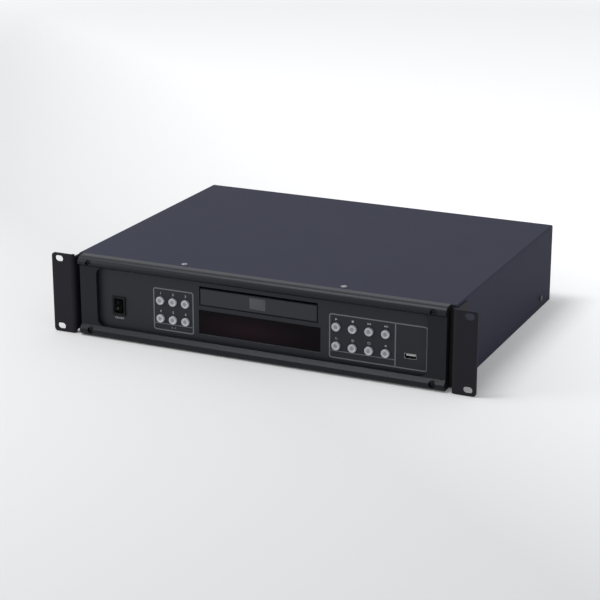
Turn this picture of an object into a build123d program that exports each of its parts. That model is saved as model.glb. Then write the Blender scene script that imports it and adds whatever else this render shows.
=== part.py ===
from build123d import *
from math import acos, asin, ceil, cos, degrees, floor, pi, radians, sin, sqrt, tan
import os

# Rack-mount disc player, two height units high. Millimetres: X to the right, Y to the rear, Z up.
# Depths are counted from the front face of the rack ears. At the end every piece is moved by the
# same amount, so that the origin is under the middle of the whole unit, on its underside.
# Heights in the loader, from the tray door to the lift cam, are counted from the underside of its floor.

# Fits
touch_gap = 0.3  # between pieces that lie beside each other or slide past each other
shaft_gap = 0.05  # round a shaft in its bore
screw_gap = 0.1  # round a screw in its hole
over = 1.0  # a cutting shape runs this far past the face it cuts
edge_margin = 0.01  # when edges are picked by their place

# Small rounds that repeat have this many sides, which keeps the file light
key_sides = 18
screw_sides = 10
wheel_sides = 28

# Case of folded steel
case_width = 430.0
case_height = 87.9
case_front = 13.0
case_back = 326.0
sheet = 1.2
cover_bend = 1.8
flange_height = 20.0
flange_inset = 4.0
fold_depth = 12.0

# Rack ears
ear_reach = 26.3
ear_rise = 0.2
ear_sheet = 2.5
ear_bend = 4.0
ear_leg = 38.0
ear_leg_drop = 3.0
ear_corner = 3.5
slot_inset = 8.75
slot_margin = 5.95
rack_slot_long = 10.0
rack_slot_high = 6.8

# Front frame: an extruded rail with rounded lips, round a window
frame_inset = 6.5
frame_low = 0.3
frame_rise = 0.1
frame_lip = 2.0
lip_low = 7.5
lip_band = 8.0
round_low = 4.5
round_high = 7.8
stile_width = 20.0
window_low = 11.5
head_band = 11.0
window_corner = 8.0
stile_depth = 2.5
plate_depth = 8.0
plate_lap = 3.0
frame_screw_inset = 13.0
frame_screw_margin = 6.45
screw_seat = 2.0
screw_well = 0.5

# Screws
screw_radius = 1.7
head_radius = 3.2
head_height = 2.0
frame_screw_length = 16.0
flat_head_height = 0.8
cover_screw_length = 6.0
side_head_height = 1.6
top_screw_x = 91.0
top_screw_depth = 7.0
side_screw_inset = 36.0
side_screw_z = 12.0
ear_screw_y = 27.0
ear_screw_rise = 16.0

# Control plate
plate_thick = 2.0
rim_wall = 1.5
boss_radius = 2.6
aperture_side_gap = 1.0
aperture_low_gap = 0.8
aperture_high_gap = 1.8
aperture_bevel = 0.7

# Tray door
door_width = 133.4
door_low = 10.6
door_high = 28.6
door_front = 7.4
door_thick = 3.0
door_corner = 0.8

# Display
display_left = -68.5
display_right = 70.7
display_low = 18.5
display_drop = 6.1
display_recess = 0.7
display_flange = 2.2
display_flange_thick = 1.6
tube_side = 6.0
tube_rise = 2.0
tube_thick = 3.6
display_board_side = 4.5
display_board_thick = 1.6

# Keys
key_radius = 4.5
key_proud = 2.5
key_bevel = 0.6
key_gap = 0.25
collar_side = 10.6
collar_thick = 1.2
stem_side = 3.2
key_travel = 0.6
number_key_inset = 45.3
number_key_pitch = 14.85
number_row_high = 48.9
number_row_low = 29.1
transport_key_inset = 17.5
socket_gap = 26.8
transport_row_high = 48.8
transport_row_low = 28.4
number_columns = 3
transport_columns = 4

# Boards behind the keys
key_board_depth = 20.0
key_board_thick = 1.6
key_board_side = 8.0
key_board_rise = 12.0
socket_board_side = 9.0
board_end = 6.3
switch_side = 6.0
switch_height = 3.6

# Rocker switch
rocker_inset = 24.1
rocker_z = 35.8
rocker_flange_width = 15.6
rocker_flange_height = 20.6
rocker_flange_thick = 1.4
rocker_body_width = 13.0
rocker_body_height = 18.4
rocker_body_depth = 16.0
rocker_width = 10.2
rocker_height = 15.2
rocker_wall_depth = 10.0
rocker_reach = 3.4
rocker_dip = 1.4
rocker_throw = 16.0
rocker_pivot_depth = 4.6
rocker_pin_radius = 1.5
rocker_pin_reach = 0.9
blade_width = 6.3
blade_thick = 0.8
blade_length = 8.0
blade_pitch = 7.0

# USB socket
usb_inset = 19.5
usb_z = 29.2
usb_width = 13.1
usb_height = 5.7
usb_shell = 0.4
usb_tongue_width = 10.2
usb_tongue_thick = 1.9
usb_proud = 0.3

# Disc and tray
disc_radius = 60.0
disc_play = 0.6
disc_y = 80.0
tray_width = 129.0
tray_low = 18.0
tray_floor = 2.0
tray_rim = 3.5
tray_rear = 187.0
deck_rear = 144.5
tray_wall = 2.0
tray_wall_low = 12.0
tray_wall_high = 26.0
tray_wall_width = 122.0
rail_width = 2.5
slot_half = 21.0
small_disc_radius = 40.3
small_disc_depth = 0.8
tray_travel = 145.0

# Loader
loader_front = 19.0
loader_rear = 190.0
loader_wall = 2.7
loader_wall_high = 30.0
loader_wall_low = 24.5
loader_drop = 47.9
loader_floor_thick = 2.0
ledge = 2.5
ledge_thick = 2.0
well_front = 49.0
well_rear = 171.0
well_half = 36.0
bridge_front = 62.0
bridge_rear = 98.0
bridge_thick = 2.0
bridge_rib = 3.0

# Gear train
tooth_module = 1.0
pressure_angle = 20.0
addendum = 0.8
dedendum = 1.1
backlash = 0.3
gear_line_y = 32.0
tray_gear_x = 41.0
tray_gear_teeth = 22
pinion_teeth = 10
gear_low = 9.0
gear_high = 17.5
rack_back = 5.0
rack_low = 11.0
rack_front = 18.0
post_radius = 2.0
post_foot_radius = 2.3
pulley_radius = 12.0
pulley_low = 2.5
pulley_height = 4.6
groove_depth = 1.2
belt_side = 1.4
motor_pulley_radius = 4.0
motor_x = -15.0
motor_radius = 10.0
motor_length = 20.0
motor_shaft_radius = 1.0
motor_shaft_height = 6.0

# Traverse, which carries the turntable and the laser sled
traverse_low = 2.5
traverse_thick = 2.5
traverse_half = 33.0
traverse_front = 51.0
traverse_rear = 163.0
traverse_window_half = 13.0
traverse_window_front = 97.0
traverse_window_rear = 150.0
hinge_y = 165.5
hinge_z = 5.5
hinge_pin_radius = 2.0
hinge_pin_reach = 4.0
hinge_arm = 5.0
lug_wall = 3.0
drop_angle = 4.0
spindle_motor_radius = 13.0
spindle_motor_height = 10.5
spindle_boss_radius = 4.5
spindle_shaft_radius = 1.0
turntable_radius = 15.0
turntable_low = 19.5
turntable_rim = 1.5
turntable_hub_radius = 7.3
turntable_hub_high = 23.5
turntable_boss_radius = 3.5
turntable_boss_low = 10.0
clamper_gap = 0.8
clamper_radius = 15.0
clamper_neck_radius = 9.0
clamper_flange_radius = 12.0
clamper_thick = 2.0
rod_radius = 1.5
rod_x = 17.5
rod_z = 9.0
rod_block_length = 3.0
rod_block_side = 3.4
rod_cover = 1.0
rod_block_front = 90.0
rod_block_rear = 153.5
sled_half = 21.5
sled_length = 20.0
sled_low = 5.4
sled_high = 16.0
sled_travel = 34.0
lens_radius = 2.2
lens_high = 19.0
lens_block_side = 12.0
lens_block_high = 17.6
screw_x = 27.0
screw_z = 10.5
lead_radius = 1.5
sled_motor_radius = 5.0
sled_motor_length = 22.0
sled_motor_front = 62.0
nut_gap = 0.2
nut_length = 9.0

# Lift cam, which lowers the traverse when the tray goes out
cam_thick = 2.0
cam_y = 45.0
cam_low = -20.0
cam_half = 26.0
cam_travel = 12.0
cam_pin_z = -7.0
cam_pin_radius = 1.5
cam_pin_reach = 8.5
cam_tab_half = 5.0
cam_tab_thick = 2.0
cam_rib_thick = 1.2
cam_rib_height = 4.0

# Loader brackets
bracket_x = 61.2
bracket_flange = 11.0
bracket_rear = 186.0
bracket_window = 26.0

# Electronics in the case
standoff_radius = 2.6
standoff_height = 8.0
board_thick = 1.6
main_board_side = 11.8
main_board_rear = 130.0
main_board_width = 112.0
main_board_length = 112.0
power_board_side = 13.8
power_board_front = 128.0
power_board_width = 100.0
power_board_length = 78.0
board_margin = 5.0
part_pitch = 25.0
chip_side = 18.0
chip_thick = 2.4
plug_width = 24.0
plug_depth = 6.0
plug_height = 7.0
plug_edge = 1.0
capacitor_radius = 9.0
capacitor_height = 25.0
sink_width = 24.0
sink_thick = 3.0
sink_height = 30.0
core_side = 63.8
core_rear = 58.0
core_width = 57.0
core_height = 48.0
core_thick = 22.0
core_limb = 9.5
coil_wrap = 8.0
coil_gap = 0.6
core_foot = 10.0
ribbon_inset = 10.0
ribbon_width = 22.0
ribbon_thick = 0.8
ribbon_bend = 5.0
ribbon_drop = 3.2

# Rear panel
vent_count = 12
vent_pitch = 8.0
vent_width = 3.0
vent_height = 34.0
vent_x = -30.0
vent_z = 46.0
inlet_side = 48.8
inlet_z = 42.0
inlet_flange_width = 48.0
inlet_flange_height = 24.0
inlet_flange_thick = 2.5
inlet_body_width = 27.4
inlet_body_height = 19.8
inlet_body_depth = 20.0
inlet_well_width = 24.0
inlet_well_height = 16.2
inlet_well_depth = 17.0
inlet_corner = 4.0
inlet_pin_width = 4.0
inlet_pin_thick = 2.0
inlet_pin_length = 14.0
inlet_pin_side = 7.0
inlet_pin_rise = 4.0
inlet_screw_pitch = 40.0
jack_side = 63.8
jack_z = 24.0
jack_pitch = 16.0
jack_radius = 4.1
jack_bore = 1.7
jack_length = 8.0
jack_flange_radius = 5.6
jack_block_width = 32.0
jack_block_height = 20.0
jack_block_depth = 9.0

# Levels and places that follow from the sizes above
case_half = case_width / 2
inner_half = case_half - sheet
ear_span = case_width + 2 * ear_reach
ear_height = case_height + ear_rise
rack_pitch_x = ear_span - 2 * slot_inset
rack_pitch_z = ear_height - 2 * slot_margin
middle_z = ear_height / 2
frame_width = case_width - 2 * frame_inset
frame_high = case_height + frame_rise
lip_high = frame_high - lip_band
window_width = frame_width - 2 * stile_width
window_high = frame_high - head_band
frame_screw_x = frame_width / 2 - frame_screw_inset
frame_screw_rise = frame_high - middle_z - frame_screw_margin
side_screw_y = case_back - side_screw_inset
loader_level = case_height - loader_drop
display_high = loader_level + door_low - display_drop
plate_back = plate_depth + plate_thick
screw_hole = screw_radius + screw_gap
panel_back = case_front + sheet
bracket_front = panel_back + fold_depth + touch_gap
cover_under = case_height - sheet
window_half = window_width / 2
plate_half = window_half + plate_lap
rocker_x = rocker_inset - window_half
usb_x = window_half - usb_inset
number_key_x = display_left - number_key_inset
transport_key_x = display_right + transport_key_inset
transport_key_pitch = (usb_x - socket_gap - transport_key_x) / (transport_columns - 1)
plate_low = window_low - plate_lap
plate_high = window_high + plate_lap
key_front = plate_depth - key_proud
collar_front = plate_back + touch_gap
collar_back = collar_front + collar_thick
switch_front = key_board_depth - switch_height
stem_back = switch_front - key_travel - touch_gap / 2
tray_half = tray_width / 2
rail_half = tray_half + rail_width
wall_inner = rail_half + touch_gap
wall_outer = wall_inner + loader_wall
loader_top = loader_floor_thick
tray_front = door_front + door_thick
deck_high = tray_low + tray_floor + tray_rim
tray_gear_radius = tooth_module * tray_gear_teeth / 2
pinion_radius = tooth_module * pinion_teeth / 2
rack_line_x = tray_gear_x + tray_gear_radius
pinion_x = tray_gear_x - tray_gear_radius - pinion_radius
pitch = pi * tooth_module
traverse_top = traverse_low + traverse_thick
sled_front = rod_block_front + rod_block_length + touch_gap
clamper_low = turntable_hub_high + clamper_gap
bridge_top = loader_wall_high + bridge_thick
display_board_front = plate_back + display_flange_thick + 2 * touch_gap + tube_thick
rear_inside = case_back - sheet
jack_end = case_back + jack_length
core_x = core_side - inner_half
core_y = case_back - core_rear
main_board_x = inner_half - main_board_side - main_board_width
main_board_y = case_back - main_board_rear
power_board_x = power_board_side - inner_half
power_board_y = core_y - power_board_front
ribbon_x = main_board_x + ribbon_inset
inlet_x = inlet_side - inner_half
jack_x = inner_half - jack_side
board_low = sheet + standoff_height
board_top = board_low + board_thick
middle_y = (jack_end - frame_lip) / 2


# Simple shapes, each given by where it starts and ends
def block(x, y, z):
    corner = Pos((x[0] + x[1]) / 2, (y[0] + y[1]) / 2, (z[0] + z[1]) / 2)
    return corner * Box(x[1] - x[0], y[1] - y[0], z[1] - z[0])


def bar(radius, length, sides):
    if sides:
        return extrude(RegularPolygon(radius, sides), length / 2, both=True)
    return Cylinder(radius, length)


def pillar(x, y, z, radius, sides=0):
    return Pos(x, y, (z[0] + z[1]) / 2) * bar(radius, z[1] - z[0], sides)


def peg(x, y, z, radius, sides=0):
    return Pos(x, (y[0] + y[1]) / 2, z) * Rot(X=90) * bar(radius, y[1] - y[0], sides)


def axle(x, y, z, radius, sides=0):
    return Pos((x[0] + x[1]) / 2, y, z) * Rot(Y=90) * bar(radius, x[1] - x[0], sides)


def across(face, x):
    return extrude(Plane.YZ.offset(x[0]) * face, x[1] - x[0], dir=(1, 0, 0))


def deep(face, y):
    return extrude(Plane.XZ.offset(-y[1]) * face, y[1] - y[0], dir=(0, -1, 0))


def tall(face, z):
    return extrude(Plane.XY.offset(z[0]) * face, z[1] - z[0], dir=(0, 0, 1))


def outline(points, rounds):
    face = Polygon(*points)
    for point, radius in rounds:
        corner = face.vertices().sort_by_distance((point[0], point[1], 0))[0]
        face = fillet(corner, radius)
    return face


def panel_face(half, low, high, corner):
    return Pos(0, (low + high) / 2) * RectangleRounded(2 * half, high - low, corner)


def mirrored(shape):
    return mirror(shape, Plane.YZ)


def bulkhead(y):
    # An upright sheet across the case, with its upper corners clear of the cover's bends.
    points = [(-inner_half, sheet), (inner_half, sheet), (inner_half, cover_under),
              (-inner_half, cover_under)]
    rounds = [((side * inner_half, cover_under), cover_bend) for side in (-1, 1)]
    return deep(outline(points, rounds), y)


# Case
def chassis_pan():
    floor = block((-inner_half, inner_half), (case_front, rear_inside), (0, sheet))
    side = block((inner_half - sheet, inner_half), (panel_back + fold_depth, rear_inside - flange_inset),
                 (sheet, sheet + flange_height))
    side -= axle((inner_half - 2 * sheet, inner_half + sheet), side_screw_y, side_screw_z, screw_hole,
                 screw_sides)
    return floor + side + mirrored(side)


def top_cover():
    half = case_half
    points = [(-half, 0), (-half, case_height), (half, case_height), (half, 0), (half - sheet, 0),
              (half - sheet, cover_under), (sheet - half, cover_under), (sheet - half, 0)]
    rounds = [((-half, case_height), cover_bend), ((half, case_height), cover_bend),
              ((half - sheet, cover_under), cover_bend - sheet),
              ((sheet - half, cover_under), cover_bend - sheet)]
    cover = deep(outline(points, rounds), (case_front, case_back))
    for x in (-top_screw_x, top_screw_x):
        cover -= pillar(x, case_front + top_screw_depth, (cover_under - sheet, case_height + sheet),
                        screw_hole, screw_sides)
    through = (-half - sheet, half + sheet)
    cover -= axle(through, side_screw_y, side_screw_z, screw_hole, screw_sides)
    for z in (middle_z - ear_screw_rise, middle_z + ear_screw_rise):
        cover -= axle(through, ear_screw_y, z, screw_hole, screw_sides)
    return cover


def sub_panel():
    # A folded ring behind the front frame: the cover, the ears and the frame are screwed to it.
    wall = bulkhead((case_front, panel_back))
    wall -= block((-window_half + plate_lap, window_half - plate_lap),
                  (case_front - sheet, panel_back + sheet),
                  (window_low, window_high - plate_lap / 3))
    for x in (-frame_screw_x, frame_screw_x):
        for z in (middle_z - frame_screw_rise, middle_z + frame_screw_rise):
            wall -= peg(x, (case_front - sheet, panel_back + sheet), z, screw_hole, screw_sides)
    low = block((-inner_half + fold_depth, inner_half - fold_depth), (panel_back, panel_back + fold_depth),
                (sheet, 2 * sheet))
    high = block((-inner_half + fold_depth, inner_half - fold_depth), (panel_back, panel_back + fold_depth),
                 (cover_under - sheet, cover_under))
    for x in (-top_screw_x, top_screw_x):
        high -= pillar(x, case_front + top_screw_depth, (cover_under - 2 * sheet, cover_under + sheet),
                       screw_hole, screw_sides)
    side = block((inner_half - sheet, inner_half), (panel_back, ear_leg),
                 (sheet + flange_height + sheet, cover_under - sheet))
    for z in (middle_z - ear_screw_rise, middle_z + ear_screw_rise):
        side -= axle((inner_half - 2 * sheet, inner_half + sheet), ear_screw_y, z, screw_hole, screw_sides)
    return wall + low + high + side + mirrored(side)


def rear_panel():
    panel = bulkhead((rear_inside, case_back))
    through = (rear_inside - sheet, case_back + sheet)
    first = vent_x - vent_pitch * (vent_count - 1) / 2
    for number in range(vent_count):
        x = first + number * vent_pitch
        panel -= block((x - vent_width / 2, x + vent_width / 2), through,
                       (vent_z - vent_height / 2, vent_z + vent_height / 2))
    panel -= Pos(inlet_x, (through[0] + through[1]) / 2, inlet_z) * Box(
        inlet_body_width + 2 * screw_gap, through[1] - through[0], inlet_body_height + 2 * screw_gap)
    for side in (-1, 1):
        panel -= peg(inlet_x + side * inlet_screw_pitch / 2, through, inlet_z, screw_hole, screw_sides)
        panel -= peg(jack_x + side * jack_pitch / 2, through, jack_z, jack_flange_radius + screw_gap,
                     key_sides)
    fold = block((-inner_half + fold_depth, inner_half - fold_depth), (rear_inside - fold_depth, rear_inside),
                 (sheet, 2 * sheet))
    return panel + fold


def rack_ear():
    outer = ear_span / 2
    half = case_half
    points = [(half, 0), (outer, 0), (outer, ear_sheet), (half + ear_sheet, ear_sheet),
              (half + ear_sheet, ear_leg), (half, ear_leg)]
    rounds = [((half, 0), ear_bend), ((half + ear_sheet, ear_sheet), ear_bend - ear_sheet)]
    ear = tall(outline(points, rounds), (0, ear_height))
    ear = fillet(ear.edges().filter_by(Axis.Y).group_by(Axis.X)[-1], ear_corner)
    for z in ((-over, ear_leg_drop), (ear_height - ear_leg_drop, ear_height + over)):
        ear -= block((half - over, half + ear_sheet + over), (ear_bend, ear_leg + over), z)
    for rise in (-rack_pitch_z / 2, rack_pitch_z / 2):
        slot = Pos(rack_pitch_x / 2, middle_z + rise) * SlotOverall(rack_slot_long, rack_slot_high)
        ear -= deep(slot, (-ear_sheet, 2 * ear_sheet))
    for rise in (-ear_screw_rise, ear_screw_rise):
        ear -= axle((half - ear_sheet, half + 2 * ear_sheet), ear_screw_y, middle_z + rise, screw_hole,
                    screw_sides)
    return ear


# Front
def front_frame():
    back = case_front
    points = [(back, frame_low), (-frame_lip, frame_low), (-frame_lip, lip_low), (stile_depth, window_low),
              (stile_depth, window_high), (-frame_lip, lip_high), (-frame_lip, frame_high),
              (back, frame_high)]
    rounds = [((-frame_lip, frame_low), round_low), ((-frame_lip, frame_high), round_high)]
    frame = across(outline(points, rounds), (-frame_width / 2, frame_width / 2))
    frame -= deep(panel_face(window_half, window_low, window_high, window_corner),
                  (-2 * frame_lip, back + frame_lip))
    frame -= block((-plate_half - touch_gap, plate_half + touch_gap), (plate_depth, back + frame_lip),
                   (plate_low - touch_gap, plate_high + touch_gap))
    for x in (-frame_screw_x, frame_screw_x):
        for z in (middle_z - frame_screw_rise, middle_z + frame_screw_rise):
            frame -= peg(x, (-2 * frame_lip, screw_seat), z, head_radius + screw_well, key_sides)
            frame -= peg(x, (screw_seat - frame_lip, back + frame_lip), z, screw_hole, screw_sides)
    return frame


def frame_screw(x, z):
    head = peg(x, (screw_seat - head_height, screw_seat), z, head_radius, screw_sides)
    return head + peg(x, (screw_seat, screw_seat + frame_screw_length), z, screw_radius, screw_sides)


def frame_screws():
    return [frame_screw(x, z) for x in (-frame_screw_x, frame_screw_x)
            for z in (middle_z - frame_screw_rise, middle_z + frame_screw_rise)]


def cover_screws():
    screws = []
    for x in (-top_screw_x, top_screw_x):
        y = case_front + top_screw_depth
        head = pillar(x, y, (case_height, case_height + flat_head_height), head_radius, screw_sides)
        screws.append(head + pillar(x, y, (case_height - cover_screw_length, case_height), screw_radius,
                                    screw_sides))
    for side in (-1, 1):
        screws.append(side_screw(side, case_half, side_screw_y, side_screw_z))
    return screws


def side_screw(side, seat, y, z):
    head = axle((seat, seat + side_head_height), y, z, head_radius, screw_sides)
    screw = head + axle((seat - cover_screw_length, seat), y, z, screw_radius, screw_sides)
    return screw if side > 0 else mirrored(screw)


def ear_screws():
    return [side_screw(side, case_half + ear_sheet, ear_screw_y, middle_z + rise)
            for side in (-1, 1) for rise in (-ear_screw_rise, ear_screw_rise)]


def number_key_places():
    return [(number_key_x + column * number_key_pitch, row)
            for row in (number_row_high, number_row_low) for column in range(number_columns)]


def transport_key_places():
    return [(transport_key_x + column * transport_key_pitch, row)
            for row in (transport_row_high, transport_row_low) for column in range(transport_columns)]


def left_board_span():
    right = number_key_x + (number_columns - 1) * number_key_pitch
    return (number_key_x - key_board_side, right + key_board_side), (
        number_row_low - key_board_rise, number_row_high + key_board_rise)


def right_board_span():
    low = min(transport_row_low, usb_z)
    return (transport_key_x - board_end, usb_x + socket_board_side), (
        low - key_board_rise, transport_row_high + key_board_rise)


def boss_places():
    places = []
    for x, z in (left_board_span(), right_board_span()):
        for bx in (x[0] + boss_radius, x[1] - boss_radius):
            for bz in (z[0] + boss_radius, z[1] - boss_radius):
                places.append((bx, bz))
    return places


def control_plate():
    plate = deep(panel_face(plate_half, plate_low, plate_high, plate_lap), (plate_depth, plate_back))
    rim = deep(panel_face(plate_half, plate_low, plate_high, plate_lap), (plate_back, case_front))
    rim -= deep(panel_face(plate_half - rim_wall, plate_low + rim_wall, plate_high - rim_wall,
                           plate_lap - rim_wall / 2), (plate_back - rim_wall, case_front + rim_wall))
    plate += rim
    for x, z in boss_places():
        plate += peg(x, (plate_back, key_board_depth), z, boss_radius, screw_sides)
    through = (plate_depth - plate_thick, plate_back + plate_thick)
    half = door_width / 2 + aperture_side_gap
    low = loader_level + door_low - aperture_low_gap
    high = loader_level + door_high + aperture_high_gap
    plate -= block((-half, half), through, (low, high))
    plate -= block((display_left, display_right), through, (display_low, display_high))
    lips = plate.edges().filter_by(Axis.X).filter_by_position(Axis.Y, plate_depth - edge_margin,
                                                              plate_depth + edge_margin)
    lips = lips.filter_by_position(Axis.Z, display_low - edge_margin, high + edge_margin)
    lips = [edge for edge in lips if abs(edge.center().Z - plate_low) > plate_lap]
    plate = chamfer(lips, aperture_bevel)
    for x, z in number_key_places() + transport_key_places():
        plate -= peg(x, through, z, key_radius + key_gap, key_sides)
    plate -= Pos(rocker_x, (through[0] + through[1]) / 2, rocker_z) * Box(
        rocker_body_width + 2 * screw_gap, through[1] - through[0], rocker_body_height + 2 * screw_gap)
    plate -= Pos(usb_x, (through[0] + through[1]) / 2, usb_z) * Box(
        usb_width + 2 * screw_gap, through[1] - through[0], usb_height + 2 * screw_gap)
    return plate


def display_window():
    gap = screw_gap
    x = (display_left + gap, display_right - gap)
    z = (display_low + gap, display_high - gap)
    pane = block(x, (plate_depth + display_recess, plate_back), z)
    lap = display_flange
    flange = block((x[0] - lap, x[1] + lap), (plate_back, plate_back + display_flange_thick),
                   (z[0] - lap, z[1] + lap))
    return pane + flange


def display_module():
    # A glass display tube on its board, behind the window.
    front = plate_back + display_flange_thick + touch_gap
    back = display_board_front
    tube = block((display_left + tube_side, display_right - tube_side), (front, back - touch_gap),
                 (display_low + tube_rise, display_high - tube_rise))
    board = block((display_left - display_board_side, display_right + display_board_side),
                  (back, back + display_board_thick), (display_low - tube_rise, display_high + tube_rise))
    return [tube, board]


def key(x, z):
    cap = peg(x, (key_front, collar_front), z, key_radius, key_sides)
    cap = chamfer(cap.faces().sort_by(Axis.Y)[0].edges(), key_bevel)
    collar = Pos(x, (collar_front + collar_back) / 2, z) * Box(collar_side, collar_thick, collar_side)
    stem = Pos(x, (collar_back + stem_back) / 2, z) * Box(stem_side, stem_back - collar_back, stem_side)
    return cap + collar + stem


def key_boards():
    boards = []
    for x, z in (left_board_span(), right_board_span()):
        boards.append(block(x, (key_board_depth, key_board_depth + key_board_thick), z))
    return boards


def key_switches():
    middle = (switch_front + key_board_depth) / 2
    return [Pos(x, middle, z) * Box(switch_side, switch_height, switch_side)
            for x, z in number_key_places() + transport_key_places()]


def rocker_housing():
    front = plate_depth - rocker_flange_thick
    back = plate_depth + rocker_body_depth
    flange = Pos(rocker_x, (front + plate_depth) / 2, rocker_z) * Box(
        rocker_flange_width, rocker_flange_thick, rocker_flange_height)
    body = Pos(rocker_x, (plate_depth + back) / 2, rocker_z) * Box(
        rocker_body_width, back - plate_depth, rocker_body_height)
    housing = flange + body
    well = plate_depth + rocker_wall_depth
    housing -= Pos(rocker_x, (front + well) / 2, rocker_z) * Box(
        rocker_width + 2 * touch_gap, well - front, rocker_height + 2 * touch_gap)
    reach = rocker_width / 2 + rocker_pin_reach + touch_gap
    housing -= axle((rocker_x - reach, rocker_x + reach), plate_depth + rocker_pivot_depth, rocker_z,
                    rocker_pin_radius + shaft_gap, key_sides)
    for side in (-1, 0, 1):
        housing += Pos(rocker_x, back + blade_length / 2, rocker_z + side * blade_pitch) * Box(
            blade_width, blade_length, blade_thick)
    return housing


def power_rocker():
    # The face is a shallow V, so that one half stands proud while the other is pressed in.
    pivot = plate_depth + rocker_pivot_depth
    half = rocker_height / 2 - touch_gap
    face = Polygon((-rocker_reach - rocker_pivot_depth, -half + rocker_dip),
                   (rocker_dip - rocker_reach - rocker_pivot_depth, 0),
                   (-rocker_reach - rocker_pivot_depth, half - rocker_dip),
                   (-rocker_dip, half), (rocker_dip, half / 2), (rocker_pin_radius, 0),
                   (rocker_dip, -half / 2), (-rocker_dip, -half))
    rocker = across(face, (-rocker_width / 2, rocker_width / 2))
    reach = rocker_width / 2 + rocker_pin_reach
    rocker += axle((-reach, reach), 0, 0, rocker_pin_radius)
    return Pos(rocker_x, pivot, rocker_z) * Rot(X=-rocker_throw / 2) * rocker


def usb_socket():
    front = plate_depth - usb_proud
    outer = Pos(usb_x, (front + key_board_depth) / 2, usb_z) * Box(usb_width, key_board_depth - front,
                                                                   usb_height)
    floor = key_board_depth - plate_thick
    hollow = Pos(usb_x, (front + floor) / 2, usb_z) * Box(
        usb_width - 2 * usb_shell, floor - front, usb_height - 2 * usb_shell)
    tongue_front = plate_depth + plate_thick / 2
    tongue = Pos(usb_x, (tongue_front + floor) / 2, usb_z + usb_tongue_thick / 2) * Box(
        usb_tongue_width, floor - tongue_front, usb_tongue_thick)
    return outer - hollow + tongue


# Gears with involute flanks
def roll(angle):
    return tan(angle) - angle


def spur_gear(teeth, phase):
    radius = tooth_module * teeth / 2
    flat = radians(pressure_angle)
    base = radius * cos(flat)
    tip = radius + addendum * tooth_module
    root = radius - dedendum * tooth_module
    half = (pitch - backlash) / (4 * radius)
    flank = []
    for reach in (max(base, root), radius, tip):
        flank.append((reach, half + roll(flat) - roll(acos(min(1, base / reach)))))
    start = [(root, flank[0][1])] if root < base else []
    points = []
    for number in range(teeth):
        middle = radians(phase) + 2 * pi * number / teeth
        for reach, angle in start + flank:
            points.append((reach * cos(middle - angle), reach * sin(middle - angle)))
        for reach, angle in reversed(start + flank):
            points.append((reach * cos(middle + angle), reach * sin(middle + angle)))
    return Polygon(*points)


def tray_rack():
    tip = rack_line_x - addendum * tooth_module
    root = rack_line_x + dedendum * tooth_module
    half = (pitch - backlash) / 4
    lean = tan(radians(pressure_angle))
    tip_half = half - addendum * tooth_module * lean
    root_half = half + dedendum * tooth_module * lean
    first = ceil((rack_front - gear_line_y) / pitch)
    last = floor((tray_rear - gear_line_y) / pitch) - 1
    back = rack_line_x + rack_back
    points = [(back, rack_front), (root, rack_front)]
    for number in range(first, last + 1):
        y = gear_line_y + (number + 0.5) * pitch
        points += [(root, y - root_half), (tip, y - tip_half), (tip, y + tip_half), (root, y + root_half)]
    points += [(root, tray_rear), (back, tray_rear)]
    return tall(Polygon(*points), (rack_low, tray_low))


def disc_tray():
    top = tray_low + tray_floor
    tray = block((-tray_half, tray_half), (tray_front, tray_rear), (tray_low, top))
    deck = block((-tray_half, tray_half), (tray_front, deck_rear), (top, deck_high))
    tray += deck - pillar(0, disc_y, (top, deck_high + tray_rim), disc_radius + disc_play)
    tray -= pillar(0, disc_y, (top - small_disc_depth, top + tray_rim), small_disc_radius)
    slot = Pos(0, disc_y) * Circle(slot_half)
    slot += Pos(0, (disc_y + tray_rear + tray_wall) / 2) * Rectangle(2 * slot_half,
                                                                     tray_rear + tray_wall - disc_y)
    tray -= tall(slot, (tray_low - tray_floor, deck_high + tray_rim))
    for side in (-1, 1):
        edge = (side * tray_half, side * rail_half)
        tray += block((min(edge), max(edge)), (loader_front + touch_gap, tray_rear), (tray_low, top))
    tray += block((-tray_wall_width / 2, tray_wall_width / 2), (tray_front, tray_front + tray_wall),
                  (tray_wall_low, tray_wall_high))
    return tray + tray_rack()


def tray_door():
    door = block((-door_width / 2, door_width / 2), (door_front, tray_front), (door_low, door_high))
    face = door.faces().sort_by(Axis.Y)[0]
    return chamfer(face.edges(), door_corner)


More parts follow.
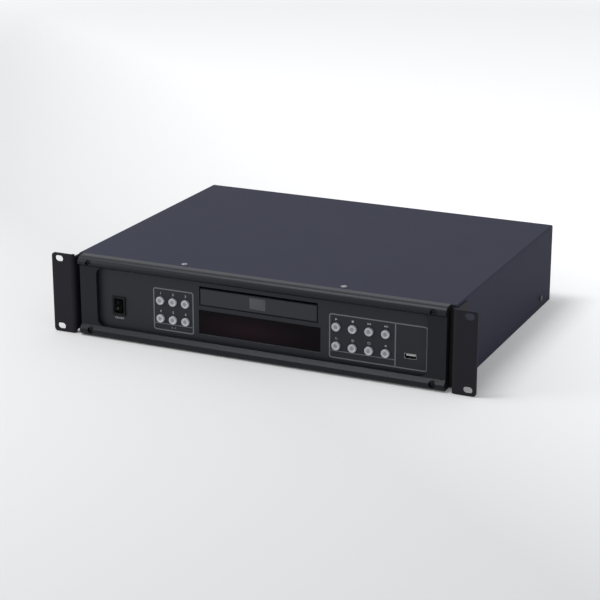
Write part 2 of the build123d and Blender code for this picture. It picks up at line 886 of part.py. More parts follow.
def loader_chassis():
    floor = block((-wall_outer, wall_outer), (loader_front, loader_rear), (0, loader_top))
    floor -= block((-well_half, well_half), (well_front, well_rear), (-over, loader_top + over))
    points = [(loader_front, loader_top), (loader_rear, loader_top), (loader_rear, loader_wall_low),
              (bridge_rear + loader_wall, loader_wall_low), (bridge_rear, loader_wall_high),
              (bridge_front, loader_wall_high), (bridge_front - loader_wall, loader_wall_low),
              (loader_front, loader_wall_low)]
    wall = across(Polygon(*points), (wall_inner, wall_outer))
    ledges = (wall_inner - ledge, wall_inner)
    low = (tray_low - touch_gap - ledge_thick, tray_low - touch_gap)
    high_start = tray_low + tray_floor + touch_gap
    wall += block(ledges, (loader_front, loader_rear), low)
    wall += block(ledges, (loader_front, loader_rear), (high_start, high_start + ledge_thick))
    loader = floor + wall + mirrored(wall)
    for x, foot in ((tray_gear_x, gear_low - touch_gap), (pinion_x, pulley_low - touch_gap / 2)):
        loader += pillar(x, gear_line_y, (loader_top, foot), post_foot_radius, screw_sides)
        loader += pillar(x, gear_line_y, (foot, gear_high), post_radius, key_sides)
    loader -= pillar(motor_x, gear_line_y, (-over, loader_top + over), motor_shaft_radius + touch_gap,
                     key_sides)
    loader += lug() + mirrored(lug())
    for y in (cam_y - touch_gap - cam_rib_thick, cam_y + cam_thick + touch_gap):
        loader += block((-cam_half - cam_travel, cam_half + 2 * cam_travel), (y, y + cam_rib_thick),
                        (-cam_rib_height, 0))
    return loader


def lug():
    # A bearing for one of the traverse's hinge pins.
    inner = traverse_half + hinge_arm / 2
    outer = inner + lug_wall
    radius = hinge_pin_radius + lug_wall
    shape = block((inner, outer), (hinge_y - radius, hinge_y + radius), (0, hinge_z))
    shape += axle((inner, outer), hinge_y, hinge_z, radius, key_sides)
    return shape - axle((inner - lug_wall, outer + lug_wall), hinge_y, hinge_z,
                        hinge_pin_radius + shaft_gap, key_sides)


def bracket():
    web = block((bracket_x, bracket_x + sheet), (bracket_front, bracket_rear), (sheet, loader_level))
    middle = (bracket_front + bracket_rear) / 2
    web -= Pos(bracket_x + sheet / 2, middle, (sheet + loader_level) / 2) * Box(
        2 * sheet, bracket_rear - bracket_front - 2 * bracket_window,
        loader_level - bracket_window / 2 - sheet)
    foot = block((bracket_x, bracket_x + bracket_flange), (bracket_front, bracket_rear), (sheet, 2 * sheet))
    shelf = block((bracket_x - bracket_flange, bracket_x + sheet), (bracket_front, bracket_rear),
                  (loader_level - sheet, loader_level))
    return web + foot + shelf


def clamp_bridge():
    half = wall_outer
    bridge = block((-half, half), (bridge_front, bridge_rear), (loader_wall_high, bridge_top))
    for y in (bridge_front, bridge_rear - bridge_thick):
        bridge += block((-half, half), (y, y + bridge_thick), (bridge_top, bridge_top + bridge_rib))
    hole = clamper_neck_radius + touch_gap
    return bridge - pillar(0, disc_y, (loader_wall_high - over, bridge_top + bridge_rib + over), hole,
                           wheel_sides)


def disc_clamper():
    top = bridge_top + touch_gap
    puck = pillar(0, disc_y, (clamper_low, clamper_low + clamper_thick), clamper_radius, wheel_sides)
    puck += pillar(0, disc_y, (clamper_low, top), clamper_neck_radius)
    return puck + pillar(0, disc_y, (top, top + clamper_thick), clamper_flange_radius, wheel_sides)


def loading_motor():
    can = pillar(motor_x, gear_line_y, (-motor_length, 0), motor_radius, wheel_sides)
    return can + pillar(motor_x, gear_line_y, (0, motor_shaft_height), motor_shaft_radius, screw_sides)


def grooved_wheel(x, radius, low, bore, sides):
    # A pulley with a groove for the belt, in its lower half.
    wheel = pillar(x, gear_line_y, (low, low + pulley_height), radius, sides)
    ring = pillar(x, gear_line_y, belt_groove(low), radius + over, sides)
    wheel -= ring - pillar(x, gear_line_y, belt_groove(low), radius - groove_depth, sides)
    return wheel - pillar(x, gear_line_y, (low - over, low + pulley_height + over), bore)


def belt_groove(low):
    middle = low + pulley_height / 2
    return (middle - belt_side / 2 - touch_gap, middle + belt_side / 2 + touch_gap)


def motor_pulley():
    return grooved_wheel(motor_x, motor_pulley_radius, pulley_low, motor_shaft_radius + shaft_gap, key_sides)


def pulley_gear():
    bore = post_radius + shaft_gap
    wheel = grooved_wheel(pinion_x, pulley_radius, pulley_low, bore, wheel_sides)
    teeth = Pos(pinion_x, gear_line_y) * spur_gear(pinion_teeth, 180 / pinion_teeth)
    pinion = tall(teeth, (pulley_low + pulley_height, gear_high))
    return wheel + pinion - pillar(pinion_x, gear_line_y, (pulley_low, gear_high + over), bore)


def tray_gear():
    teeth = Pos(tray_gear_x, gear_line_y) * spur_gear(tray_gear_teeth, 0)
    gear = tall(teeth, (gear_low, gear_high))
    return gear - pillar(tray_gear_x, gear_line_y, (gear_low - over, gear_high + over),
                         post_radius + shaft_gap)


def drive_belt():
    low = pulley_low + pulley_height / 2 - belt_side / 2
    big = pulley_radius - groove_depth + shaft_gap
    small = motor_pulley_radius - groove_depth + shaft_gap
    inner = belt_loop(big, small)
    outer = belt_loop(big + belt_side, small + belt_side)
    return tall(outer - inner, (low, low + belt_side))


def belt_loop(big, small):
    # Two circles joined by their outer tangents.
    span = pinion_x - motor_x
    lean = asin((big - small) / span)
    loop = Pos(pinion_x, gear_line_y) * Circle(big) + Pos(motor_x, gear_line_y) * Circle(small)
    ends = []
    for side in (-1, 1):
        ends.append((motor_x - small * sin(lean), gear_line_y + side * small * cos(lean)))
        ends.append((pinion_x - big * sin(lean), gear_line_y + side * big * cos(lean)))
    return loop + Polygon(ends[0], ends[1], ends[3], ends[2])


def lift_cam():
    # The slot leads the traverse's front pin down while the cam slides to the right.
    plate = block((-cam_half, cam_half), (cam_y, cam_y + cam_thick), (cam_low, -touch_gap))
    reach = hinge_y - (cam_y + cam_thick / 2)
    drop = reach * sin(radians(drop_angle)) + (hinge_z - cam_pin_z) * (cos(radians(drop_angle)) - 1)
    run = sqrt(cam_travel ** 2 + drop ** 2)
    lean = degrees(asin(drop / run))
    width = 2 * (cam_pin_radius + touch_gap)
    slot = Pos(-cam_travel / 2, cam_pin_z - drop / 2) * Rot(Z=lean) * SlotCenterToCenter(run, width)
    return plate - deep(slot, (cam_y - over, cam_y + cam_thick + over))


def traverse_frame():
    low, top = traverse_low, traverse_top
    frame = block((-traverse_half, traverse_half), (traverse_front, traverse_rear), (low, top))
    frame -= block((-traverse_window_half, traverse_window_half),
                   (traverse_window_front, traverse_window_rear), (low - over, top + over))
    frame -= pillar(0, disc_y, (low - over, top + over), spindle_boss_radius + touch_gap, key_sides)
    for y in (rod_block_front, rod_block_rear):
        span = (y, y + rod_block_length)
        rest = block((rod_x - rod_block_side, rod_x + rod_block_side), span,
                     (top, rod_z + rod_radius + rod_cover))
        frame += rest + mirrored(rest)
        bore = peg(rod_x, (y - over, y + rod_block_length + over), rod_z, rod_radius + shaft_gap, key_sides)
        frame -= bore + mirrored(bore)
    lead = (rod_block_rear, rod_block_rear + rod_block_length)
    frame += block((screw_x - rod_block_side, screw_x + rod_block_side), lead,
                   (top, screw_z + lead_radius + rod_cover))
    frame -= peg(screw_x, (lead[0] - over, lead[1] + over), screw_z, lead_radius + shaft_gap, key_sides)
    arm = block((traverse_half - hinge_arm, traverse_half), (traverse_rear, hinge_y),
                (low, hinge_z + hinge_pin_radius))
    arm += axle((traverse_half - hinge_arm, traverse_half), hinge_y, hinge_z, hinge_pin_radius + rod_cover,
                key_sides)
    arm += axle((traverse_half, traverse_half + hinge_arm / 2 + hinge_pin_reach), hinge_y, hinge_z,
                hinge_pin_radius)
    frame += arm + mirrored(arm)
    tab_low = cam_pin_z - cam_pin_radius - rod_cover
    frame += block((-cam_tab_half, cam_tab_half), (traverse_front, traverse_front + cam_tab_thick),
                   (tab_low, low))
    return frame + peg(0, (traverse_front - cam_pin_reach, traverse_front), cam_pin_z, cam_pin_radius,
                       key_sides)


def spindle_motor():
    can = pillar(0, disc_y, (traverse_low - spindle_motor_height, traverse_low), spindle_motor_radius,
                 wheel_sides)
    can += pillar(0, disc_y, (traverse_low, turntable_boss_low - touch_gap), spindle_boss_radius, key_sides)
    return can + pillar(0, disc_y, (traverse_low, turntable_low), spindle_shaft_radius, screw_sides)


def turntable():
    rim = pillar(0, disc_y, (turntable_low, turntable_low + turntable_rim), turntable_radius, wheel_sides)
    hub = pillar(0, disc_y, (turntable_low, turntable_hub_high), turntable_hub_radius, wheel_sides)
    hub = chamfer(hub.faces().sort_by(Axis.Z)[-1].edges(), turntable_rim)
    boss = pillar(0, disc_y, (turntable_boss_low, turntable_low), turntable_boss_radius, key_sides)
    bore = pillar(0, disc_y, (turntable_boss_low - over, turntable_low + touch_gap),
                  spindle_shaft_radius + shaft_gap)
    return rim + hub + boss - bore


def guide_rods():
    rod = peg(rod_x, (rod_block_front, rod_block_rear + rod_block_length), rod_z, rod_radius, key_sides)
    return [rod, mirrored(rod)]


def laser_sled():
    rear = sled_front + sled_length
    sled = block((-sled_half, sled_half), (sled_front, rear), (sled_low, sled_high))
    lens_y = (sled_front + rear) / 2
    half = lens_block_side / 2
    sled += block((-half, half), (lens_y - half, lens_y + half), (sled_high, lens_block_high))
    sled += pillar(0, lens_y, (lens_block_high, lens_high), lens_radius, screw_sides)
    bore = peg(rod_x, (sled_front - over, rear + over), rod_z, rod_radius + shaft_gap, key_sides)
    sled -= bore + mirrored(bore)
    nut = block((sled_half, screw_x - lead_radius - nut_gap),
                (lens_y - nut_length / 2, lens_y + nut_length / 2),
                (screw_z - lead_radius, screw_z + lead_radius))
    return sled + nut


def sled_motor():
    back = sled_motor_front + sled_motor_length
    return peg(screw_x, (sled_motor_front, back), screw_z, sled_motor_radius, key_sides)


def lead_screw():
    front = sled_motor_front + sled_motor_length + touch_gap
    return peg(screw_x, (front, rod_block_rear + rod_block_length + over), screw_z, lead_radius)


# Electronics
def board_corners(x, y, width, length):
    m = board_margin
    return [(bx, by) for bx in (x + m, x + width - m) for by in (y + m, y + length - m)]


def standoffs():
    places = board_corners(main_board_x, main_board_y, main_board_width, main_board_length)
    places += board_corners(power_board_x, power_board_y, power_board_width, power_board_length)
    return [tall(Pos(x, y) * RegularPolygon(standoff_radius, 6), (sheet, board_low)) for x, y in places]


def main_board():
    return block((main_board_x, main_board_x + main_board_width),
                 (main_board_y, main_board_y + main_board_length),
                 (board_low, board_top))


def power_board():
    return block((power_board_x, power_board_x + power_board_width),
                 (power_board_y, power_board_y + power_board_length), (board_low, board_top))


def on_board(x, y, width, length, height):
    return block((x, x + width), (y, y + length), (board_top, board_top + height))


def board_parts():
    # Two chips and three plugs on the main board, two capacitors and a heat sink on the power board.
    parts = []
    for number in (1, 2):
        shift = number * part_pitch
        parts.append(on_board(main_board_x + shift, main_board_y + shift, chip_side, chip_side, chip_thick))
        parts.append(pillar(power_board_x + part_pitch, power_board_y + shift,
                            (board_top, board_top + capacitor_height), capacitor_radius, screw_sides))
    plug_rear = main_board_length - plug_depth - plug_edge
    for x, y in ((ribbon_inset, plug_edge), (2 * part_pitch, plug_edge), (2 * part_pitch, plug_rear)):
        parts.append(on_board(main_board_x + x, main_board_y + y, plug_width, plug_depth, plug_height))
    parts.append(on_board(power_board_x + 2 * part_pitch, power_board_y + part_pitch, sink_width,
                          sink_thick, sink_height))
    return parts


def transformer():
    # An iron core with two windows, and the winding through them.
    half = core_width / 2
    low = sheet + sheet
    core = block((core_x - half, core_x + half), (core_y - core_thick / 2, core_y + core_thick / 2),
                 (low, low + core_height))
    coil_low = low + core_limb
    coil_high = low + core_height - core_limb
    inner = core_limb
    window = half - core_limb
    for side in (-1, 1):
        edge = (core_x + side * inner, core_x + side * window)
        core -= block((min(edge), max(edge)), (core_y - core_thick, core_y + core_thick),
                      (coil_low, coil_high))
    foot = block((core_x - half - core_foot, core_x + half + core_foot),
                 (core_y - core_thick / 2, core_y + core_thick / 2), (sheet, low))
    reach = window - coil_gap
    depth = core_thick / 2 + coil_wrap
    coil = block((core_x - reach, core_x + reach), (core_y - depth, core_y + depth),
                 (coil_low + coil_gap, coil_high - coil_gap))
    coil -= block((core_x - inner - touch_gap, core_x + inner + touch_gap),
                  (core_y - core_thick / 2 - touch_gap, core_y + core_thick / 2 + touch_gap),
                  (coil_low - over, coil_high + over))
    return [core + foot, coil]


def ribbon_cable():
    back = key_board_depth + key_board_thick
    floor = sheet + ribbon_drop
    reach = main_board_y + plug_edge
    plug = board_top + plug_height / 2
    out = back + 2 * ribbon_bend
    line = FilletPolyline((back, right_board_span()[1][0] + ribbon_bend),
                          (out, right_board_span()[1][0] + ribbon_bend),
                          (out, floor), (reach - 2 * ribbon_bend, floor), (reach - 2 * ribbon_bend, plug),
                          (reach, plug), radius=min(ribbon_bend, (plug - floor) / 2 - touch_gap))
    return across(trace(line, ribbon_thick), (ribbon_x, ribbon_x + ribbon_width))


def mains_inlet():
    front = case_back + inlet_flange_thick
    shape = Rectangle(inlet_flange_width, inlet_flange_height)
    flange = deep(Pos(inlet_x, inlet_z) * chamfer(shape.vertices(), inlet_corner), (case_back, front))
    for side in (-1, 1):
        flange -= peg(inlet_x + side * inlet_screw_pitch / 2, (case_back - over, front + over), inlet_z,
                      screw_hole, screw_sides)
    back = case_back - inlet_body_depth
    body = Pos(inlet_x, (back + case_back) / 2, inlet_z) * Box(
        inlet_body_width, case_back - back, inlet_body_height)
    well = Rectangle(inlet_well_width, inlet_well_height)
    upper = well.vertices().group_by(Axis.Y)[-1]
    well = Pos(inlet_x, inlet_z) * chamfer(upper, inlet_corner)
    floor = front - inlet_well_depth
    inlet = flange + body - deep(well, (floor, front + over))
    pins = ((-inlet_pin_side, -inlet_pin_rise / 2), (inlet_pin_side, -inlet_pin_rise / 2),
            (0, inlet_pin_rise / 2))
    for x, z in pins:
        inlet += Pos(inlet_x + x, floor + inlet_pin_length / 2, inlet_z + z) * Box(
            inlet_pin_thick, inlet_pin_length, inlet_pin_width)
    return inlet


def inlet_screws():
    seat = case_back + inlet_flange_thick
    screws = []
    for side in (-1, 1):
        x = inlet_x + side * inlet_screw_pitch / 2
        screws.append(peg(x, (seat, seat + side_head_height), inlet_z, head_radius, screw_sides)
                      + peg(x, (seat - cover_screw_length, seat), inlet_z, screw_radius, screw_sides))
    return screws


def audio_jacks():
    back = rear_inside - touch_gap - jack_block_depth
    jacks = Pos(jack_x, back + jack_block_depth / 2, jack_z) * Box(
        jack_block_width, jack_block_depth, jack_block_height)
    for side in (-1, 1):
        x = jack_x + side * jack_pitch / 2
        jacks += peg(x, (rear_inside - touch_gap, case_back + touch_gap), jack_z, jack_flange_radius,
                     key_sides)
        jacks += peg(x, (case_back, jack_end), jack_z, jack_radius, key_sides)
        jacks -= peg(x, (case_back, jack_end + over), jack_z, jack_bore, screw_sides)
    return jacks


def write(name, shapes, level=0.0):
    shapes = shapes if isinstance(shapes, list) else [shapes]
    solids = [solid for shape in shapes for solid in shape.solids()]
    placed = Pos(0, -middle_y, level) * Compound(solids)
    export_step(placed, os.path.join("parts", name + ".step"))


def main():
    os.makedirs("parts", exist_ok=True)
    write("chassis_pan", chassis_pan())
    write("sub_panel", sub_panel())
    write("rear_panel", rear_panel())
    write("top_cover", top_cover())
    write("front_frame", front_frame())
    write("control_plate", control_plate())
    write("right_ear", rack_ear())
    write("left_ear", mirrored(rack_ear()))
    write("frame_screws", frame_screws())
    write("cover_screws", cover_screws() + inlet_screws())
    write("ear_screws", ear_screws())
    write("rocker_housing", rocker_housing())
    write("power_rocker", power_rocker())
    write("usb_socket", usb_socket())
    write("display_window", display_window())
    write("display_module", display_module())
    write("key_boards", key_boards())
    write("key_switches", key_switches())
    for number, (x, z) in enumerate(number_key_places(), 1):
        write("number_key_" + str(number), key(x, z))
    transport = ("play", "stop", "previous", "next", "repeat", "program", "folder", "eject")
    for word, (x, z) in zip(transport, transport_key_places()):
        write(word + "_key", key(x, z))
    write("tray_door", tray_door(), loader_level)
    write("disc_tray", disc_tray(), loader_level)
    write("loader_chassis", loader_chassis(), loader_level)
    write("loader_brackets", [bracket(), mirrored(bracket())])
    write("clamp_bridge", clamp_bridge(), loader_level)
    write("disc_clamper", disc_clamper(), loader_level)
    write("loading_motor", loading_motor(), loader_level)
    write("motor_pulley", motor_pulley(), loader_level)
    write("drive_belt", drive_belt(), loader_level)
    write("pulley_gear", pulley_gear(), loader_level)
    write("tray_gear", tray_gear(), loader_level)
    write("lift_cam", lift_cam(), loader_level)
    write("traverse_frame", traverse_frame(), loader_level)
    write("spindle_motor", spindle_motor(), loader_level)
    write("turntable", turntable(), loader_level)
    write("guide_rods", guide_rods(), loader_level)
    write("laser_sled", laser_sled(), loader_level)
    write("sled_motor", sled_motor(), loader_level)
    write("lead_screw", lead_screw(), loader_level)
    write("standoffs", standoffs())
    write("main_board", main_board())
    write("power_board", power_board())
    write("board_parts", board_parts())
    write("transformer", transformer())
    write("ribbon_cable", ribbon_cable())
    write("mains_inlet", mains_inlet())
    write("audio_jacks", audio_jacks())


main()
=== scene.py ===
# %% [markdown]
# # A rack disc player, dressed
# The solid model comes in first and stays where it is. Everything made here sits on it, in metres, with the
# front of the unit towards -Y.

# %% Load the fixed frame
import bpy
import bmesh
from math import atan2, cos, pi, radians, sin
from mathutils import Matrix, Vector


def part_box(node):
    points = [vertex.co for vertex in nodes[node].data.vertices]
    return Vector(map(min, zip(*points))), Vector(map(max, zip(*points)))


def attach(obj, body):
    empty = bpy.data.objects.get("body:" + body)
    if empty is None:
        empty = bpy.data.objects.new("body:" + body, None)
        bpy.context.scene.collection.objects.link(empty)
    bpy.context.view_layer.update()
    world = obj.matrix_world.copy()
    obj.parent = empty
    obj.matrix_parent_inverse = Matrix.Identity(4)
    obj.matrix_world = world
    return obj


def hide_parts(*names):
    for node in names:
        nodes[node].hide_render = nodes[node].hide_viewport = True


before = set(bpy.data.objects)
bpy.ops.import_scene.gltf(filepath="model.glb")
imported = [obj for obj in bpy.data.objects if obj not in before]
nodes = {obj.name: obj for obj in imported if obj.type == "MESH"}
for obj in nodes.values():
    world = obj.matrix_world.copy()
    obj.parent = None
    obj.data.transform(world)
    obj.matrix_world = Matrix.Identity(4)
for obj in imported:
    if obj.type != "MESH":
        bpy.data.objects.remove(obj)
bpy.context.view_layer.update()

# %% [markdown]
# ## Where things are
# The rack ears' front face is the plane that the photograph was measured on, so it is found from the
# ear's own box. A point is then given as on a drawing of the front: across, behind that plane and up,
# in millimetres. The control plate's face and the middle of the rocker switch come up more than once.

# %% Measure from the ear plane
MM = 0.001
EAR_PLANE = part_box("right_ear")[0].y
PLATE_FACE = 8.0
rocker_x, rocker_z = -164.4, 35.8


def at(x, y, z):
    return Vector((x * MM, EAR_PLANE + y * MM, z * MM))


def middle_of(node):
    low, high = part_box(node)
    return (low + high) / 2


print("ear plane at", round(EAR_PLANE, 4), "plate face at", round(at(0, PLATE_FACE, 0).y, 4))

# %% [markdown]
# ## The camera
# The ear corners, the four slots, the case corners and the front screws fix the view: about 25 degrees
# to the right of the front and 18 degrees above it, from 1.85 m, through a long lens.

# %% Camera
view_turn, view_rise, view_distance = radians(24.68), radians(18.31), 1.8502
focal_length_px, picture_width_px, sensor_width = 1831.7, 600, 36.0
target = at(51.5, 0, 74.5)
away = Vector((sin(view_turn) * cos(view_rise), -cos(view_turn) * cos(view_rise), sin(view_rise)))
bpy.ops.object.camera_add(location=target + away * view_distance)
camera = bpy.context.object
camera.rotation_euler = (-away).to_track_quat("-Z", "Y").to_euler()
camera.data.sensor_width = sensor_width
camera.data.lens = focal_length_px / picture_width_px * sensor_width
bpy.context.scene.camera = camera
print("camera at", [round(v, 3) for v in camera.location], "lens", round(camera.data.lens, 1), "mm")

# %% [markdown]
# ## Short node makers
# The floor, the sky and the finishes all use sums, ranges and mixes. Each is made by one call here, from
# numbers, colours or the outputs of other nodes, and gives back its own output.


# %% Make and link a node
def put(tree, value, socket):
    if isinstance(value, bpy.types.NodeSocket):
        tree.links.new(value, socket)
    else:
        socket.default_value = value


def math_node(tree, operation, *values, clamp=False):
    node = tree.nodes.new("ShaderNodeMath")
    node.operation = operation
    node.use_clamp = clamp
    for value, socket in zip(values, node.inputs):
        put(tree, value, socket)
    return node.outputs[0]


def vector_node(tree, operation, vector, other):
    node = tree.nodes.new("ShaderNodeVectorMath")
    node.operation = operation
    put(tree, vector, node.inputs[0])
    put(tree, other, node.inputs[1])
    return node.outputs["Value"]


def range_node(tree, value, from_low=0.0, from_high=1.0, to_low=0.0, to_high=1.0):
    node = tree.nodes.new("ShaderNodeMapRange")
    put(tree, value, node.inputs["Value"])
    for label, limit in (("From Min", from_low), ("From Max", from_high), ("To Min", to_low),
                         ("To Max", to_high)):
        put(tree, limit, node.inputs[label])
    return node.outputs["Result"]


def mix_node(tree, factor, first, second):
    node = tree.nodes.new("ShaderNodeMix")
    node.data_type = "RGBA"
    put(tree, factor, node.inputs["Factor"])
    put(tree, first, node.inputs["A"])
    put(tree, second, node.inputs["B"])
    return node.outputs["Result"]


def material_with_nodes(name):
    material = bpy.data.materials.new(name)
    material.use_nodes = True
    return material, material.node_tree, material.node_tree.nodes["Principled BSDF"]


print("node makers ready")

# %% [markdown]
# ## Floor and light
# The unit stands on a pale sweep. A plane large enough to fill the view is the floor. Its colour goes from
# pale grey in front to almost white behind: painted light, brighter further back.

# %% Floor
floor_shift = 2
fade_from, fade_to = -1.75, -1.15
bpy.ops.object.select_all(action="DESELECT")
bpy.ops.mesh.primitive_plane_add(size=16, location=(0, floor_shift, -0.0004))
floor = bpy.context.object
floor.name = "studio_floor"
sweep, tree, shader = material_with_nodes("studio sweep")
shader.inputs["Roughness"].default_value = 0.9
shader.inputs["Specular IOR Level"].default_value = 0.1
place = tree.nodes.new("ShaderNodeTexCoord").outputs["Object"]
along = vector_node(tree, "DOT_PRODUCT", place, (0.6, 0.8, 0))
painted_light_fade = range_node(tree, along, fade_from, fade_to)
# Painted light: the floor's own colour is made paler towards the back.
painted_light_tones = mix_node(tree, painted_light_fade, (0.80, 0.80, 0.80, 1), (0.90, 0.905, 0.91, 1))
tree.links.new(painted_light_tones, shader.inputs["Base Color"])
floor.data.materials.append(sweep)
print("floor at", round(floor.location.z, 4))

# %% [markdown]
# Behind and to the right the sweep is almost white in the picture. A little of its own light, seen only
# by the camera, in reflections and through glass, lifts it there without lighting the unit, and the shadow
# stays. Further than a metre from the unit the sweep is lifted on every side, so that it stays pale from
# all directions.


# %% Whiter sweep for the camera
def rays_that_see(tree):
    # 1 for what the camera sees itself, in a reflection or through glass, and 0 for light.
    rays = tree.nodes.new("ShaderNodeLightPath")
    total = rays.outputs["Is Camera Ray"]
    for kind in ("Is Glossy Ray", "Is Transmission Ray"):
        total = math_node(tree, "MAXIMUM", total, rays.outputs[kind])
    return total


behind = range_node(tree, along, fade_from, fade_to, to_high=0.32)
reach = vector_node(tree, "DISTANCE", place, (0, -floor_shift, 0))
far_off = range_node(tree, reach, 1.0, 2.6, to_high=0.45)
lift = math_node(tree, "MAXIMUM", far_off, behind)
own_light = math_node(tree, "MULTIPLY", lift, rays_that_see(tree))
shader.inputs["Emission Color"].default_value = (1, 1, 1, 1)
tree.links.new(own_light, shader.inputs["Emission Strength"])
print("sweep lifted")

# %% [markdown]
# The light is plain and soft: a pale world all round, which the camera sees as almost white, and three
# panels. One high up on the left gives the cover its even grey and the frame's lower slope its bright
# line. A weaker one at the left front is near enough that the front face darkens towards its right end.
# A small one, low on the right, keeps the cover's side as even as in the photograph.

# %% Lights
lighting_strength, seen_strength = 0.48, 0.93
world = bpy.data.worlds.new("studio")
bpy.context.scene.world = world
world.use_nodes = True
sky = world.node_tree
background = sky.nodes["Background"]
background.inputs["Color"].default_value = (0.96, 0.97, 1.0, 1)
sky_strength = range_node(sky, rays_that_see(sky), to_low=lighting_strength, to_high=seen_strength)
sky.links.new(sky_strength, background.inputs["Strength"])
bpy.context.scene.view_settings.view_transform = "Standard"


def soft_panel(name, place, aim, size, watts):
    bpy.ops.object.light_add(type="AREA", location=place)
    lamp = bpy.context.object
    lamp.name = name
    lamp.data.shape = "RECTANGLE"
    lamp.data.size, lamp.data.size_y = size
    lamp.data.energy = watts
    lamp.rotation_euler = (Vector(aim) - Vector(place)).to_track_quat("-Z", "Y").to_euler()
    print(name, watts, "W")


soft_panel("high left panel", (-0.68, -0.35, 2.35), (0, 0, 0), (0.7, 1.1), 28.5)
soft_panel("left front panel", (-1.05, -0.8, 0.6), (-0.2, -0.15, 0.05), (0.6, 0.5), 4.6)
soft_panel("low right panel", (0.85, -0.12, 0.06), (0.215, -0.1, 0.035), (0.4, 0.08), 0.25)

# %% [markdown]
# ## Shared surface effects
# Several finishes share the same small effects, so each is a node group, built once. A grain roughens a
# moulded or painted skin. Drawn lines run along an extrusion or a rolled sheet. Soft blotches keep a
# large face from looking flat, and a little dust settles on what faces up.


# %% Start a group
def new_group(name, inputs, outputs):
    group = bpy.data.node_groups.new(name, "ShaderNodeTree")
    for label, kind, value in inputs:
        socket = group.interface.new_socket(label, in_out="INPUT", socket_type=kind)
        socket.default_value = value
    for label, kind in outputs:
        group.interface.new_socket(label, in_out="OUTPUT", socket_type=kind)
    return group, group.nodes.new("NodeGroupInput"), group.nodes.new("NodeGroupOutput")


def noise_from_place(group, detail):
    place = group.nodes.new("ShaderNodeTexCoord")
    noise = group.nodes.new("ShaderNodeTexNoise")
    noise.inputs["Detail"].default_value = detail
    return place, noise


# %% Grain and drawn lines
def skin_group(name, stretch):
    group, start, end = new_group(
        name,
        [("Scale", "NodeSocketFloat", 2500.0), ("Height", "NodeSocketFloat", 0.1),
         ("Roughness", "NodeSocketFloat", 0.5), ("Spread", "NodeSocketFloat", 0.1)],
        [("Roughness", "NodeSocketFloat"), ("Normal", "NodeSocketVector")])
    link = group.links.new
    place, noise = noise_from_place(group, 3)
    squeeze = group.nodes.new("ShaderNodeMapping")
    squeeze.inputs["Scale"].default_value = stretch
    link(place.outputs["Object"], squeeze.inputs["Vector"])
    link(squeeze.outputs["Vector"], noise.inputs["Vector"])
    link(start.outputs["Scale"], noise.inputs["Scale"])
    bump = group.nodes.new("ShaderNodeBump")
    bump.inputs["Distance"].default_value = 0.0001
    link(start.outputs["Height"], bump.inputs["Strength"])
    link(noise.outputs["Fac"], bump.inputs["Height"])
    link(bump.outputs["Normal"], end.inputs["Normal"])
    centred = math_node(group, "SUBTRACT", noise.outputs["Fac"], 0.5)
    uneven = math_node(group, "MULTIPLY_ADD", centred, start.outputs["Spread"], start.outputs["Roughness"])
    link(uneven, end.inputs["Roughness"])
    return group


fine_grain = skin_group("fine grain", (1, 1, 1))
drawn_lines = skin_group("drawn lines", (0.012, 1, 1))
wound_turns = skin_group("wound turns", (0.02, 0.02, 1))
print("skins", fine_grain.name, drawn_lines.name, wound_turns.name)


# %% Blotches and dust
def soft_blotch_group():
    group, start, end = new_group(
        "soft blotches",
        [("Color", "NodeSocketColor", (0.05, 0.05, 0.06, 1)), ("Scale", "NodeSocketFloat", 14.0),
         ("Amount", "NodeSocketFloat", 0.08), ("Dust", "NodeSocketFloat", 0.0)],
        [("Color", "NodeSocketColor")])
    link = group.links.new
    place, noise = noise_from_place(group, 2)
    link(place.outputs["Object"], noise.inputs["Vector"])
    link(start.outputs["Scale"], noise.inputs["Scale"])
    darkest = math_node(group, "SUBTRACT", 1.0, start.outputs["Amount"])
    tint = group.nodes.new("ShaderNodeVectorMath")
    tint.operation = "SCALE"
    link(start.outputs["Color"], tint.inputs[0])
    link(range_node(group, noise.outputs["Fac"], to_low=1.0, to_high=darkest), tint.inputs["Scale"])
    facing = group.nodes.new("ShaderNodeNewGeometry")
    upward = group.nodes.new("ShaderNodeSeparateXYZ")
    link(facing.outputs["Normal"], upward.inputs[0])
    specks = group.nodes.new("ShaderNodeTexNoise")
    specks.inputs["Scale"].default_value = 420
    specks.inputs["Detail"].default_value = 4
    link(place.outputs["Object"], specks.inputs["Vector"])
    sparse = range_node(group, specks.outputs["Fac"], 0.58, 0.80)
    lying = math_node(group, "MULTIPLY", sparse, upward.outputs["Z"], clamp=True)
    share = math_node(group, "MULTIPLY", lying, start.outputs["Dust"])
    dust_color = (0.30, 0.29, 0.27, 1)
    link(mix_node(group, share, tint.outputs["Vector"], dust_color), end.inputs["Color"])
    return group


soft_blotches = soft_blotch_group()
print("groups", [group.name for group in bpy.data.node_groups])

# %% [markdown]
# ## Finishes
# A finish is one shader with its own colour, grain and gloss. Painted steel, anodised aluminium and
# moulded plastic differ in how coarse the grain is and how evenly they shine. Metals carry drawn lines.


